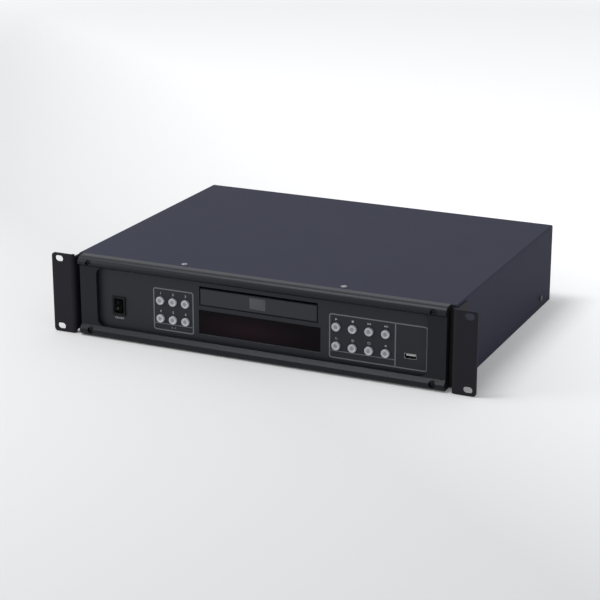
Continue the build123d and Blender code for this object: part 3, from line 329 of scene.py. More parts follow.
# %% Make a finish
def finish(name, color, roughness=0.5, metal=0.0, grain=2500.0, height=0.12, spread=0.12, blotch=14.0,
           amount=0.1, dust=0.0, coat=0.0, specular=0.5, skin=None):
    material, tree, shader = material_with_nodes(name)
    shader.inputs["Metallic"].default_value = metal
    shader.inputs["Specular IOR Level"].default_value = specular
    shader.inputs["Coat Weight"].default_value = coat
    shader.inputs["Coat Roughness"].default_value = 0.08
    surface = tree.nodes.new("ShaderNodeGroup")
    surface.node_tree = skin or fine_grain
    surface.inputs["Scale"].default_value = grain
    surface.inputs["Height"].default_value = height
    surface.inputs["Roughness"].default_value = roughness
    surface.inputs["Spread"].default_value = spread
    tone = tree.nodes.new("ShaderNodeGroup")
    tone.node_tree = soft_blotches
    tone.inputs["Color"].default_value = (*color, 1)
    tone.inputs["Scale"].default_value = blotch
    tone.inputs["Amount"].default_value = amount
    tone.inputs["Dust"].default_value = dust
    tree.links.new(tone.outputs["Color"], shader.inputs["Base Color"])
    tree.links.new(surface.outputs["Roughness"], shader.inputs["Roughness"])
    tree.links.new(surface.outputs["Normal"], shader.inputs["Normal"])
    return material


# %% Paints and the anodised frame
cover_paint = finish("cover paint", (0.0415, 0.0437, 0.0650), 0.55, grain=1500, height=0.25, dust=0.05,
                     specular=0.022)
ear_paint = finish("ear paint", (0.0222, 0.0214, 0.0272), 0.55, grain=1500, height=0.25, dust=0.03,
                   specular=0.06)
frame_anodised = finish("anodised frame", (0.0118, 0.0135, 0.0175), 0.38, metal=0.15, grain=3500,
                        height=0.05, dust=0.03, specular=0.2, skin=drawn_lines)
plate_paint = finish("plate paint", (0.0142, 0.0166, 0.0215), 0.5, grain=3000, height=0.14, specular=0.28)
rear_paint = finish("rear paint", (0.022, 0.022, 0.025), 0.5, grain=1500, height=0.25, specular=0.15)
ink_look = {"grain": 6000, "height": 0.05, "blotch": 300, "amount": 0.2}
pale_print = finish("pale print", (0.42, 0.43, 0.45), 0.55, **ink_look)
grey_print = finish("grey print", (0.150, 0.158, 0.172), 0.55, **ink_look)
faint_print = finish("faint print", (0.05, 0.05, 0.055), 0.5, **ink_look)
sawn_end = finish("sawn end", (0.019, 0.018, 0.020), 0.6, grain=2500, height=0.15, specular=0.05)
print("paints", len(bpy.data.materials))

# %% Metals
zinc_sheet = finish("zinc sheet", (0.42, 0.43, 0.44), 0.38, metal=1.0, grain=1800, height=0.05, blotch=60,
                    amount=0.25, skin=drawn_lines)
bare_steel = finish("bare steel", (0.52, 0.53, 0.54), 0.3, metal=1.0, grain=2600, height=0.05, blotch=80,
                    amount=0.2, skin=drawn_lines)
core_iron = finish("core iron", (0.10, 0.09, 0.085), 0.6, metal=0.6, grain=2400, height=0.2,
                   skin=drawn_lines)
black_oxide = finish("black oxide", (0.006, 0.006, 0.007), 0.4, metal=0.3, grain=2500, height=0.06,
                     specular=0.3)
nickel = finish("nickel", (0.62, 0.61, 0.60), 0.22, metal=1.0, grain=2500, height=0.03)
dull_nickel = finish("dull nickel", (0.30, 0.30, 0.31), 0.38, metal=1.0, grain=2500, height=0.05)
dark_zinc = finish("dark zinc", (0.075, 0.075, 0.082), 0.4, metal=1.0, grain=2500, height=0.05)
brass = finish("brass", (0.62, 0.45, 0.18), 0.28, metal=1.0, grain=2500, height=0.03)
copper_wire = finish("copper wire", (0.42, 0.17, 0.07), 0.34, metal=0.8, grain=1800, height=0.6,
                     skin=wound_turns)
print("metals made")

# %% Plastics, rubber and boards
door_skin = finish("door plastic", (0.0185, 0.0205, 0.027), 0.42, grain=5000, height=0.12, specular=0.35)
badge_skin = finish("badge", (0.072, 0.079, 0.090), 0.4, grain=5000, height=0.05, blotch=120,
                    amount=0.35)
key_skin = finish("key plastic", (0.52, 0.52, 0.56), 0.36, grain=5000, height=0.05, amount=0.05)
key_dish_painted_shade = finish("key dish painted shade", (0.28, 0.28, 0.305), 0.42, grain=5000, height=0.08, amount=0.08)
black_skin = finish("black plastic", (0.008, 0.008, 0.0095), 0.5, grain=4000, height=0.15,
                    specular=0.15)
tray_skin = finish("tray plastic", (0.015, 0.015, 0.018), 0.45, grain=2800, height=0.2, dust=0.04,
                   specular=0.35)
rocker_skin = finish("rocker plastic", (0.0018, 0.0018, 0.0022), 0.4, grain=5000, height=0.03,
                     specular=0.02)
acetal = finish("acetal", (0.74, 0.72, 0.66), 0.42, grain=3000, height=0.05)
pale_plastic = finish("pale plastic", (0.55, 0.55, 0.54), 0.4, grain=3000, height=0.05)
sleeve_skin = finish("capacitor sleeve", (0.012, 0.020, 0.055), 0.35, grain=3000, height=0.05, coat=0.3)
lens_glass = finish("pickup lens", (0.03, 0.04, 0.10), 0.06, grain=1500, height=0.01, coat=1.0)
belt_rubber = finish("belt rubber", (0.012, 0.012, 0.012), 0.75, grain=3000, height=0.2)
board_lacquer = finish("board lacquer", (0.02, 0.12, 0.05), 0.35, grain=2500, height=0.05, coat=0.3)
part_resin = finish("part resin", (0.02, 0.02, 0.022), 0.55, grain=4000, height=0.1)
ribbon_skin = finish("ribbon", (0.40, 0.41, 0.43), 0.5, grain=900, height=0.1)
tube_glass = finish("tube glass", (0.03, 0.034, 0.034), 0.15, grain=1500, height=0.02)
red_ring = finish("red ring", (0.42, 0.02, 0.02), 0.4, grain=3000, height=0.05)
print("finishes", len(bpy.data.materials))

# %% [markdown]
# A circuit board shows its copper tracks as paler green lines under the lacquer. They run square to each
# other, so the lines between the bricks of a wall pattern stand for them.

# %% Tracks under the lacquer
tracks, start, end = new_group(
    "board tracks", [("Scale", "NodeSocketFloat", 130.0)], [("Mask", "NodeSocketFloat")])
place = tracks.nodes.new("ShaderNodeTexCoord")
wall = tracks.nodes.new("ShaderNodeTexBrick")
wall.inputs["Mortar Size"].default_value = 0.035
wall.inputs["Row Height"].default_value = 0.31
tracks.links.new(place.outputs["Object"], wall.inputs["Vector"])
tracks.links.new(start.outputs["Scale"], wall.inputs["Scale"])
tracks.links.new(wall.outputs["Fac"], end.inputs["Mask"])
tree = board_lacquer.node_tree
tone = next(node for node in tree.nodes if node.type == "GROUP" and node.node_tree == soft_blotches)
lines_mask = tree.nodes.new("ShaderNodeGroup")
lines_mask.node_tree = tracks
board_green, track_green = (0.012, 0.085, 0.035, 1), (0.045, 0.200, 0.080, 1)
greens = mix_node(tree, lines_mask.outputs["Mask"], board_green, track_green)
tree.links.new(greens, tone.inputs["Color"])
print("tracks drawn")

# %% [markdown]
# The display window is a dark red filter: a glossy skin over a colour that is almost black, with a painted
# glow of red near the middle, where the tube stands behind it. A soft ball of colour round a point of the
# pane paints that glow into the pane's colour, without any light.

# %% Window filter
window_filter = finish("window filter", (0.004, 0.0018, 0.0026), 0.2, grain=3000, height=0.01, specular=0.06)
tree = window_filter.node_tree
shader = tree.nodes["Principled BSDF"]
place = tree.nodes.new("ShaderNodeTexCoord")
centre = tree.nodes.new("ShaderNodeMapping")
pane = middle_of("display_window")
painted_glow_spot = (pane.x - 12 * MM, pane.y, pane.z - 2 * MM)
painted_glow_scale = (14, 14, 60)
centre.inputs["Location"].default_value = [-spot * scale for spot, scale in zip(painted_glow_spot, painted_glow_scale)]
centre.inputs["Scale"].default_value = painted_glow_scale
painted_glow_ball = tree.nodes.new("ShaderNodeTexGradient")
painted_glow_ball.gradient_type = "SPHERICAL"
tree.links.new(place.outputs["Object"], centre.inputs["Vector"])
tree.links.new(centre.outputs["Vector"], painted_glow_ball.inputs["Vector"])
# Painted glow: the pane's colour is a lighter red round that point.
painted_glow = mix_node(tree, painted_glow_ball.outputs["Fac"], (0.0040, 0.0027, 0.0040, 1), (0.0150, 0.0066, 0.0112, 1))
tree.links.new(painted_glow, shader.inputs["Base Color"])
print("window filter centred on", [round(v, 4) for v in pane])

# %% [markdown]
# ## Working by hand in code
# An operator acts on all that is selected, so a piece is taken alone first. In edit mode, faces,
# edges or points are picked by where they are or which way they face, as one would click them. A new
# piece is made from a primitive, a copied mesh or a modifier, and keeps its place in its own mesh.


# %% Take one piece, pick its faces
def take(piece):
    bpy.ops.object.select_all(action="DESELECT")
    piece.select_set(True)
    bpy.context.view_layer.objects.active = piece


def edit(piece):
    take(piece)
    bpy.ops.object.mode_set(mode="EDIT")
    bpy.ops.mesh.select_all(action="DESELECT")


def leave():
    bpy.ops.object.mode_set(mode="OBJECT")


def pick_all():
    bpy.ops.mesh.select_all(action="SELECT")


def pick_faces(test):
    bpy.ops.mesh.select_mode(type="FACE")
    mesh = bmesh.from_edit_mesh(bpy.context.object.data)
    for face in mesh.faces:
        face.select_set(bool(test(face.calc_center_median(), face.normal)))
    bmesh.update_edit_mesh(bpy.context.object.data)


def pick_edges(test):
    bpy.ops.mesh.select_mode(type="EDGE")
    mesh = bmesh.from_edit_mesh(bpy.context.object.data)
    for edge in mesh.edges:
        edge.select_set(bool(test(edge.verts[0].co, edge.verts[1].co)))
    bmesh.update_edit_mesh(bpy.context.object.data)


def bevel_picked(width, segments, affect="EDGES"):
    bpy.ops.mesh.bevel(offset=width * MM, segments=segments, affect=affect)


# %% Make, join and change pieces
def settle(piece, name):
    # A finished piece has its place in its mesh.
    take(piece)
    bpy.ops.object.transform_apply(location=True, rotation=True, scale=True)
    piece.name = name
    return piece


def made(name, primitive, **how):
    bpy.ops.object.select_all(action="DESELECT")
    primitive(**how)
    return settle(bpy.context.object, name)


def round_bar(name, radius, low, high, sides):
    # A cylinder along Y, between two depths.
    return made(name, bpy.ops.mesh.primitive_cylinder_add, vertices=sides, radius=radius * MM,
                depth=(high - low) * MM, location=(0, (low + high) / 2 * MM, 0), rotation=(pi / 2, 0, 0))


def with_mesh(name, mesh):
    piece = bpy.data.objects.new(name, mesh)
    bpy.context.scene.collection.objects.link(piece)
    return piece


def changed(piece, kind, **settings):
    # A modifier is added, set and applied.
    take(piece)
    modifier = piece.modifiers.new(kind, kind)
    for setting, value in settings.items():
        setattr(modifier, setting, value)
    bpy.ops.object.modifier_apply(modifier=modifier.name)


def joined(name, pieces):
    take(pieces[0])
    for piece in pieces:
        piece.select_set(True)
    bpy.ops.object.join()
    return settle(bpy.context.object, name)


def smooth(piece, angle=35):
    take(piece)
    bpy.ops.object.shade_smooth_by_angle(angle=radians(angle))


def wear(piece, *materials):
    piece.data.materials.clear()
    for material in materials:
        piece.data.materials.append(material)


def recolour(piece, index, test):
    # Faces whose middle passes the test take another of the piece's finishes.
    count = 0
    for face in piece.data.polygons:
        if test(face.center, face.normal):
            face.material_index = index
            count += 1
    return count


print("helpers ready")

# %% [markdown]
# ## Folded sheet and the extruded frame
# Real sheet metal has no knife edges: bends are round and cut edges are broken. The solids are right,
# so each is copied, its loose triangles are merged into whole faces, and a narrow bevel breaks its
# edges. The copy stands for the solid. The frame, the cover and the ears catch light along these edges.
# Weighted normals keep the large faces flat, so that no shading leaks over them from a bend.


# %% Soften a solid
# Points closer than 0.002 mm are one point, and faces within half a degree are one plane.
same_point, same_plane = 0.002, 0.5


def softened(node, width, material, body, angle=40, segments=2):
    piece = with_mesh(node + "_skin", nodes[node].data.copy())
    edit(piece)
    pick_all()
    bpy.ops.mesh.remove_doubles(threshold=same_point * MM)
    bpy.ops.mesh.dissolve_limited(angle_limit=radians(same_plane))
    bpy.ops.mesh.normals_make_consistent(inside=False)
    leave()
    changed(piece, "BEVEL", width=width * MM, segments=segments, limit_method="ANGLE",
            angle_limit=radians(angle))
    smooth(piece, angle)
    changed(piece, "WEIGHTED_NORMAL", keep_sharp=True, weight=100)
    wear(piece, material)
    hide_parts(node)
    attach(piece, body)
    print(piece.name, len(piece.data.polygons), "faces")
    return piece


# %% Cover, ears and frame
softened("top_cover", 0.2, cover_paint, "case")
softened("left_ear", 0.25, ear_paint, "case")
softened("right_ear", 0.25, ear_paint, "case")
front = softened("front_frame", 0.25, frame_anodised, "case")
wear(front, frame_anodised, sawn_end)
frame_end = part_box("front_frame")[1].x
print("end faces", recolour(front, 1, lambda middle, normal: abs(middle.x) > frame_end - 0.5 * MM))

# %% [markdown]
# ## Keys
# A key is a round cap with a soft rim, a bright ring and a dished middle for the fingertip, on a square
# collar that keeps it from falling out of the plate, with a stem down to its switch. The dished middle is
# given a darker finish: painted shade in the hollow. It is turned once from a cylinder by insets that step in
# and down, and then copied into the fourteen places.

# %% One key
cap_front, collar_front, collar_back, stem_back = 5.5, 10.3, 11.5, 15.65
cap_radius, painted_shade_radius, painted_shade_back = 4.5, 2.2, 8
cap = round_bar("cap", cap_radius, cap_front, collar_front, 40)
edit(cap)
pick_faces(lambda middle, normal: normal.y < -0.9)
for inward, down in ((1.15, 0), (0.3, 0.28), (0.9, 0.16), (0.8, 0.05), (0.25, 0.22)):
    bpy.ops.mesh.inset(thickness=inward * MM, depth=-down * MM)
pick_edges(lambda a, b: min(a.xz.length, b.xz.length) > (cap_radius - 0.1) * MM
           and max(a.y, b.y) < (cap_front + 0.01) * MM)
bevel_picked(0.75, 5)
leave()
print("cap", len(cap.data.polygons), "faces")


# %% Collar and stem
def small_block(side, low, high, corner):
    piece = made("block", bpy.ops.mesh.primitive_cube_add, size=1, location=(0, (low + high) / 2 * MM, 0),
                 scale=(side * MM, (high - low) * MM, side * MM))
    edit(piece)
    pick_edges(lambda a, b: abs(a.y - b.y) > 0.5 * MM)
    bevel_picked(corner, 3)
    leave()
    return piece


key = joined("key", [cap, small_block(10.6, collar_front, collar_back, 0.8),
                     small_block(3.2, collar_back, stem_back, 0.3)])
smooth(key, 35)
# The middle of the dish wears the darker key finish: painted shade in the hollow.
wear(key, key_skin, key_dish_painted_shade)
dish_painted_shade_faces = recolour(key, 1, lambda middle, normal: middle.xz.length < painted_shade_radius * MM
                  and middle.y < painted_shade_back * MM)
print("dish faces", dish_painted_shade_faces)

# %% Copy it into its places
key_nodes = [name for name in nodes if name.endswith("_key") or name.startswith("number_key")]
for name in key_nodes:
    spot = middle_of(name)
    mesh = key.data.copy()
    mesh.transform(Matrix.Translation((spot.x, EAR_PLANE, spot.z)))
    piece = with_mesh(name + "_cap", mesh)
    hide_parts(name)
    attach(piece, name)
bpy.data.objects.remove(key)
print("keys", len(key_nodes))

# %% [markdown]
# ## Print on the plate
# Screen print is a very thin layer of ink. Two rounded outlines group the keys, each with a line across
# above its caption strip, and small signs stand over the keys. They are flat shapes, just under a
# twentieth of a millimetre thick, so that they sit on the plate instead of flickering inside it.

# %% Flat shapes
INK, INK_THICKNESS = 0.05, 0.045
capital_share = 0.72


def flat(x, z, width, height):
    bpy.ops.object.select_all(action="DESELECT")
    bpy.ops.mesh.primitive_plane_add(size=1, location=at(x, PLATE_FACE - INK, z), rotation=(pi / 2, 0, 0))
    piece = bpy.context.object
    piece.scale = (width * MM, height * MM, 1)
    return settle(piece, "flat")


def outline_ring(x, z, line, corner):
    piece = flat(sum(x) / 2, sum(z) / 2, x[1] - x[0], z[1] - z[0])
    edit(piece)
    pick_all()
    bevel_picked(corner, 6, "VERTICES")
    pick_all()
    bpy.ops.mesh.inset(thickness=line * MM)
    bpy.ops.mesh.delete(type="FACE")
    leave()
    return piece


def wedge(x, z, width, height, side):
    # A triangle: the two points of one side come together in its middle.
    piece = flat(x, z, width, height)
    edit(piece)
    bpy.ops.mesh.select_mode(type="VERT")
    mesh = bmesh.from_edit_mesh(piece.data)
    spot = at(x, PLATE_FACE, z)
    for point in mesh.verts:
        offset = point.co - spot
        ahead = {"right": offset.x, "left": -offset.x, "up": offset.z}[side]
        point.select_set(ahead > 0)
    bmesh.update_edit_mesh(piece.data)
    bpy.ops.mesh.merge(type="CENTER")
    leave()
    return piece


def word(text, x, z, height, bold=0.0):
    bpy.ops.object.select_all(action="DESELECT")
    bpy.ops.object.text_add(location=at(x, PLATE_FACE - INK, z), rotation=(pi / 2, 0, 0))
    piece = bpy.context.object
    piece.data.body = text
    piece.data.size = height * MM / capital_share
    piece.data.offset = bold * MM
    piece.data.align_x = "CENTER"
    piece.data.align_y = "CENTER"
    bpy.ops.object.convert(target="MESH")
    return settle(bpy.context.object, "word")


def printed(name, pieces, material, body="case"):
    sheet = joined(name, pieces)
    changed(sheet, "SOLIDIFY", thickness=INK_THICKNESS * MM)
    wear(sheet, material)
    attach(sheet, body)
    print(name, len(sheet.data.polygons), "faces")


# %% Outlines
frame_line, strip_line, frame_corner = 1.3, 0.8, 2.9
number_middle, transport_middle = -98.65, 116.4
lines = [outline_ring((-122.6, -74.7), (16.0, 62.6), frame_line, frame_corner),
         outline_ring((80.2, 187.1), (14.9, 62.5), frame_line, frame_corner),
         flat(number_middle, 23.6, 46.0, strip_line), flat(transport_middle, 22.9, 71.2, strip_line),
         flat(152.5, 38.7, frame_line, 45.6)]
printed("panel_outlines", lines, grey_print)

# %% Numbers over the number keys
sign_rise = 7.9


def sign_over(name):
    spot = middle_of(name) / MM
    return spot.x, spot.z + sign_rise


numbers = [word(str(number), *sign_over("number_key_%d" % number), 2.7, bold=0.1) for number in range(1, 7)]
numbers.append(word("1 - 6", number_middle, 20.0, 2.2, bold=0.07))
printed("key_numbers", numbers, pale_print)


# %% Signs over the transport keys
def arc_arrow(x, z, radius):
    # A ring with a gap, and a head at one end of the gap.
    piece = made("ring", bpy.ops.mesh.primitive_circle_add, vertices=28, radius=radius * MM, fill_type="NGON",
                 location=at(x, PLATE_FACE - INK, z), rotation=(pi / 2, 0, 0))
    edit(piece)
    pick_all()
    bpy.ops.mesh.inset(thickness=0.32 * MM)
    bpy.ops.mesh.delete(type="FACE")
    spot = at(x, PLATE_FACE, z)
    pick_faces(lambda middle, normal: middle.x > spot.x and 0 < middle.z - spot.z < 0.75 * radius * MM)
    bpy.ops.mesh.delete(type="FACE")
    leave()
    return [piece, wedge(x + radius * 0.86, z + 0.1, 0.9, 0.8, "up")]


signs = [wedge(*sign_over("play_key"), 2.4, 2.6, "right"), flat(*sign_over("stop_key"), 2.2, 2.2)]
x, z = sign_over("previous_key")
signs += [flat(x - 1.9, z, 0.4, 2.2)] + [wedge(x + step, z, 1.6, 2.2, "left") for step in (-0.85, 0.85)]
x, z = sign_over("next_key")
signs += [wedge(x + step, z, 1.6, 2.2, "right") for step in (-0.85, 0.85)] + [flat(x + 1.9, z, 0.4, 2.2)]
signs += arc_arrow(*sign_over("repeat_key"), 1.25)
x, z = sign_over("program_key")
signs += [flat(x, z + rise, 2.8, 0.4) for rise in (-0.9, 0, 0.9)]
x, z = sign_over("folder_key")
signs += [outline_ring((x - 1.6, x + 1.6), (z - 1.1, z + 0.8), 0.35, 0.2), flat(x - 0.9, z + 1.0, 1.4, 0.5)]
x, z = sign_over("eject_key")
signs += [wedge(x, z + 0.45, 2.6, 1.5, "up"), flat(x, z - 0.85, 2.6, 0.45)]
printed("key_signs", signs, pale_print)
printed("switch_word", [word("ON/OFF", rocker_x, 22.0, 2.1, bold=0.05)], pale_print)

# %% [markdown]
# ## Screws
# Every screw of the case is a pan head with a cross recess. The head is a cylinder with a domed rim,
# and the recess is cut by a cross of two tapered bars. A screw is modelled with its head towards -Y,
# once for each group, and its copies are turned to their holes.

# %% One screw
head_radius, shank_radius = 3.2, 1.7
recess_long, recess_short = head_radius * 1.1, head_radius * 0.26


def screw(head_height, shank, dome):
    head = round_bar("head", head_radius, -head_height, 0, 36)
    edit(head)
    pick_edges(lambda a, b: max(a.y, b.y) < -(head_height - 0.01) * MM)
    bevel_picked(dome, 4)
    leave()
    bars = []
    for across, up in ((recess_long, recess_short), (recess_short, recess_long)):
        cutter = made("cutter", bpy.ops.mesh.primitive_cube_add, size=1, location=(0, -head_height * MM, 0),
                      scale=(across * MM, head_height * 1.1 * MM, up * MM))
        edit(cutter)
        pick_faces(lambda middle, normal: normal.y > 0.9)
        bpy.ops.transform.resize(value=(0.55, 1, 0.55))
        leave()
        bars.append(cutter)
    for cutter in bars:
        changed(head, "BOOLEAN", operation="DIFFERENCE", object=cutter)
        bpy.data.objects.remove(cutter)
    stem = round_bar("stem", shank_radius, 0, shank, 20)
    edit(stem)
    pick_edges(lambda a, b: min(a.y, b.y) > (shank - 0.01) * MM)
    bevel_picked(0.5, 1)
    leave()
    whole = joined("screw", [head, stem])
    smooth(whole, 30)
    return whole


def placed_screws(name, model, places, material, node):
    copies = []
    for spot, turn in places:
        mesh = model.data.copy()
        mesh.transform(Matrix.Translation(spot) @ turn.to_4x4())
        copies.append(with_mesh("copy", mesh))
    piece = joined(name, copies)
    wear(piece, material)
    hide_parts(node)
    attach(piece, "case")
    bpy.data.objects.remove(model)
    print(name, len(piece.data.polygons), "faces")


def turned(axis, degrees):
    return Matrix.Rotation(radians(degrees), 3, axis)


# %% Screws in their holes
frame_places = [(at(x, 2.0, z), turned("Y", 20 + 3 * x % 45))
                for x in (-195.5, 195.5) for z in (6.45, 81.65)]
placed_screws("frame_screw_heads", screw(2.0, 16.0, 0.7), frame_places, black_oxide, "frame_screws")
ear_places = [(at(side * 217.5, 27.0, z), turned("Z", 90 * side) @ turned("Y", 30 * z))
              for side in (-1, 1) for z in (28.05, 60.05)]
placed_screws("ear_screw_heads", screw(1.6, 6.0, 0.6), ear_places, black_oxide, "ear_screws")
lid_places = [(at(x, 20.0, 87.9), turned("X", -90) @ turned("Y", x)) for x in (-91.0, 91.0)]
placed_screws("lid_screw_heads", screw(0.8, 6.0, 0.3), lid_places, dull_nickel, "cover_screws")
side_places = [(at(side * 215.0, 290.0, 12.0), turned("Z", 90 * side) @ turned("Y", 25)) for side in (-1, 1)]
side_places += [(at(x, 328.5, 42.0), turned("Z", 180) @ turned("Y", x)) for x in (-185.0, -145.0)]
placed_screws("side_screw_heads", screw(1.6, 6.0, 0.6), side_places, dark_zinc, "cover_screws")

# %% [markdown]
# ## Switch and socket
# The rocker stands in a black bezel with a soft rim. Its two marks are the usual bar and ring. They are
# printed flat and then leaned with the rocker's two faces, and they ride on the rocker.

# %% Rocker switch
softened("rocker_housing", 0.35, black_skin, "case", segments=3)
softened("power_rocker", 0.3, rocker_skin, "rocker", angle=25, segments=3)
pivot_depth, face_radius, mark_rise, mark_line = 12.6, 7.33, 3.0, 0.35
tilt = Matrix.Translation(at(rocker_x, pivot_depth, rocker_z)) @ Matrix.Rotation(radians(-8), 4, "X")
lean = atan2(1.4, 5.9)


def on_rocker(piece, z, angle):
    flat_place = at(rocker_x, PLATE_FACE - INK, rocker_z)
    face_place = Matrix.Translation((0, -face_radius * MM, z * MM))
    piece.data.transform(Matrix.Translation(-flat_place))
    piece.data.transform(tilt @ face_place @ Matrix.Rotation(angle, 4, "X"))
    return piece


bar_mark = flat(rocker_x, rocker_z, 0.4, 2.2)
ring_mark = outline_ring((rocker_x - 1, rocker_x + 1), (rocker_z - 1, rocker_z + 1), mark_line, 0.98)
marks = [on_rocker(bar_mark, mark_rise, lean), on_rocker(ring_mark, -mark_rise, -lean)]
printed("rocker_marks", marks, faint_print, "rocker")

# %% [markdown]
# The USB socket is a folded shell with a tongue inside. The tongue is pale plastic with four contacts on its
# underside, and it is the bright line that shows in the opening. The back of the opening is painted shade:
# its outward faces take black plastic.

# %% USB socket
usb = softened("usb_socket", 0.12, dull_nickel, "case")
usb_spot = middle_of("usb_socket")
wear(usb, dull_nickel, pale_plastic, black_skin)
tongue_half, tongue_low, tongue_high, tongue_front, shell_back = 5.15, -0.05, 1.95, 8.6, 16
tongue = recolour(usb, 1, lambda middle, normal: abs(middle.x - usb_spot.x) < tongue_half * MM
                  and tongue_low * MM < middle.z - usb_spot.z < tongue_high * MM
                  and middle.y > at(0, tongue_front, 0).y)
# Painted shade: faces that look out from behind the shell's back take black plastic.
inside = recolour(usb, 2, lambda middle, normal: normal.y < -0.9 and middle.y > at(0, shell_back, 0).y)
contacts = []
for across in (-3.0, -1.0, 1.0, 3.0):
    strip = made("strip", bpy.ops.mesh.primitive_cube_add, size=1,
                 location=usb_spot + Vector((across * MM, -1.0 * MM, -0.06 * MM)),
                 scale=(1.0 * MM, 6.5 * MM, 0.14 * MM))
    edit(strip)
    pick_edges(lambda a, b: max(a.y, b.y) < usb_spot.y - 3 * MM and abs(a.z - b.z) < 0.01 * MM)
    bevel_picked(0.05, 2)
    leave()
    contacts.append(strip)
contact_strips = joined("usb_contacts", contacts)
wear(contact_strips, brass)
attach(contact_strips, "case")
print("tongue faces", tongue, "inside faces", inside)

# %% [markdown]
# ## Tray and door
# The door carries a small bare badge plate in its middle, a shade lighter than the door. It is a thin
# rounded plate whose edge is bevelled.

# %% Badge plate on the door
door_face, badge_rise, badge_thickness = 7.4, 60.2, 0.12
badge = flat(0, badge_rise, 18.0, 12.0)
badge.data.transform(Matrix.Translation((0, (door_face - PLATE_FACE + INK) * MM, 0)))
edit(badge)
pick_all()
bevel_picked(0.6, 4, "VERTICES")
pick_all()
bpy.ops.mesh.extrude_region_move(TRANSFORM_OT_translate={"value": (0, -badge_thickness * MM, 0)})
bpy.ops.mesh.inset(thickness=0.15 * MM, depth=0.05 * MM)
leave()
badge.name = "badge_plate"
smooth(badge, 30)
wear(badge, badge_skin)
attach(badge, "tray")
softened("tray_door", 0.15, door_skin, "tray", angle=30)
softened("disc_tray", 0.2, tray_skin, "tray")

# %% [markdown]
# ## The rear sockets
# The mains inlet is one moulding with three bare metal pins, and each output jack is a metal sleeve
# round a coloured ring and a dark bore. The solids are softened, and faces take a second finish by
# their place.

# %% Mains inlet
inlet = softened("mains_inlet", 0.3, black_skin, "case")
wear(inlet, black_skin, bare_steel)
inlet_x, inlet_z = -166.2, 42
pin_places = ((-7.0, -2.0), (7.0, -2.0), (0.0, 2.0))
pin_half_width, pin_half_height, pin_root, pin_tip = 1.02, 2.02, 311.8, 326


def on_a_pin(middle, normal):
    across, up = middle.x / MM - inlet_x, middle.z / MM - inlet_z
    return at(0, pin_root, 0).y < middle.y < at(0, pin_tip, 0).y and any(
        abs(across - x) < pin_half_width and abs(up - z) < pin_half_height for x, z in pin_places)


print("pin faces", recolour(inlet, 1, on_a_pin))

# %% Output jacks
jacks = softened("audio_jacks", 0.2, black_skin, "case")
wear(jacks, black_skin, nickel)
sleeve_root, ring_depth, jack_rise, jack_half_pitch = 326.5, 327.3, 24, 8
sleeves = recolour(jacks, 1, lambda middle, normal: middle.y > at(0, sleeve_root, 0).y)
for name, side, material in (("jack_ring_left", -1, red_ring), ("jack_ring_right", 1, pale_plastic)):
    across = middle_of("audio_jacks").x + side * jack_half_pitch * MM
    ring = made(name, bpy.ops.mesh.primitive_torus_add, major_radius=4.9 * MM, minor_radius=0.7 * MM,
                major_segments=40, minor_segments=10,
                location=(across, at(0, ring_depth, 0).y, jack_rise * MM), rotation=(pi / 2, 0, 0))
    smooth(ring, 60)
    wear(ring, material)
    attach(ring, "case")
print("sleeve faces", sleeves)

# %% [markdown]
# ## Inside the case
# With the tray out, or the cover off, the loader and the boards show. The pickup is pushed along its rods
# by a threaded rod. Its thread is one triangle swept round and along the rod, three millimetres a turn.

# %% Lead screw with its thread
rod_radius, thread_radius, ridge, pitch = 1.15, 1.08, 0.42, 3
low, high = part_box("lead_screw")
rod_middle, rod_length = (low + high) / 2, high.y - low.y
rod = made("rod", bpy.ops.mesh.primitive_cylinder_add, vertices=24, radius=rod_radius * MM, depth=rod_length,
           location=rod_middle, rotation=(pi / 2, 0, 0))
edit(rod)
pick_edges(lambda a, b: abs(a.y - b.y) < 0.01 * MM)
bevel_picked(0.3, 2)
leave()
turns = int((rod_length / MM - pitch) // pitch)
thread = made("thread", bpy.ops.mesh.primitive_circle_add, vertices=3, radius=ridge * MM,
              rotation=(0, 0, -pi / 2))
thread.data.transform(Matrix.Translation((thread_radius * MM, 0, 0)))
changed(thread, "SCREW", axis="Y", screw_offset=pitch * MM, iterations=turns, steps=16,
        use_smooth_shade=False)
edit(thread)
pick_all()
bpy.ops.mesh.fill_holes(sides=0)
pick_all()
bpy.ops.mesh.normals_make_consistent(inside=False)
leave()
ends = [point.co.y for point in thread.data.vertices]
centring = rod_middle - Vector((0, (min(ends) + max(ends)) / 2, 0))
thread.data.transform(Matrix.Translation(centring))
lead = joined("lead_screw_thread", [rod, thread])
smooth(lead, 35)
wear(lead, bare_steel)
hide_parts("lead_screw")
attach(lead, "lead_screw")
print(lead.name, turns, "turns", len(lead.data.polygons), "faces")

# %% [markdown]
# The pickup has a small glass lens in a pale holder. The turntable carries a thin rubber pad. Both rings
# are turned from a disc by an inset and a pull.


# %% Turned rings
def washer(name, centre, outer, inner, thick, material, body):
    ring = made(name, bpy.ops.mesh.primitive_circle_add, vertices=40, radius=outer * MM, fill_type="NGON",
                location=centre)
    edit(ring)
    pick_all()
    bpy.ops.mesh.inset(thickness=(outer - inner) * MM)
    bpy.ops.mesh.delete(type="FACE")
    pick_all()
    bpy.ops.mesh.extrude_region_move(TRANSFORM_OT_translate={"value": (0, 0, thick * MM)})
    pick_all()
    bpy.ops.mesh.normals_make_consistent(inside=False)
    pick_edges(lambda a, b: min(a.z, b.z) > centre.z + (thick - 0.01) * MM)
    bevel_picked(min(0.05, thick * 0.3), 2)
    leave()
    smooth(ring, 30)
    wear(ring, material)
    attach(ring, body)
    print(name, len(ring.data.polygons), "faces")


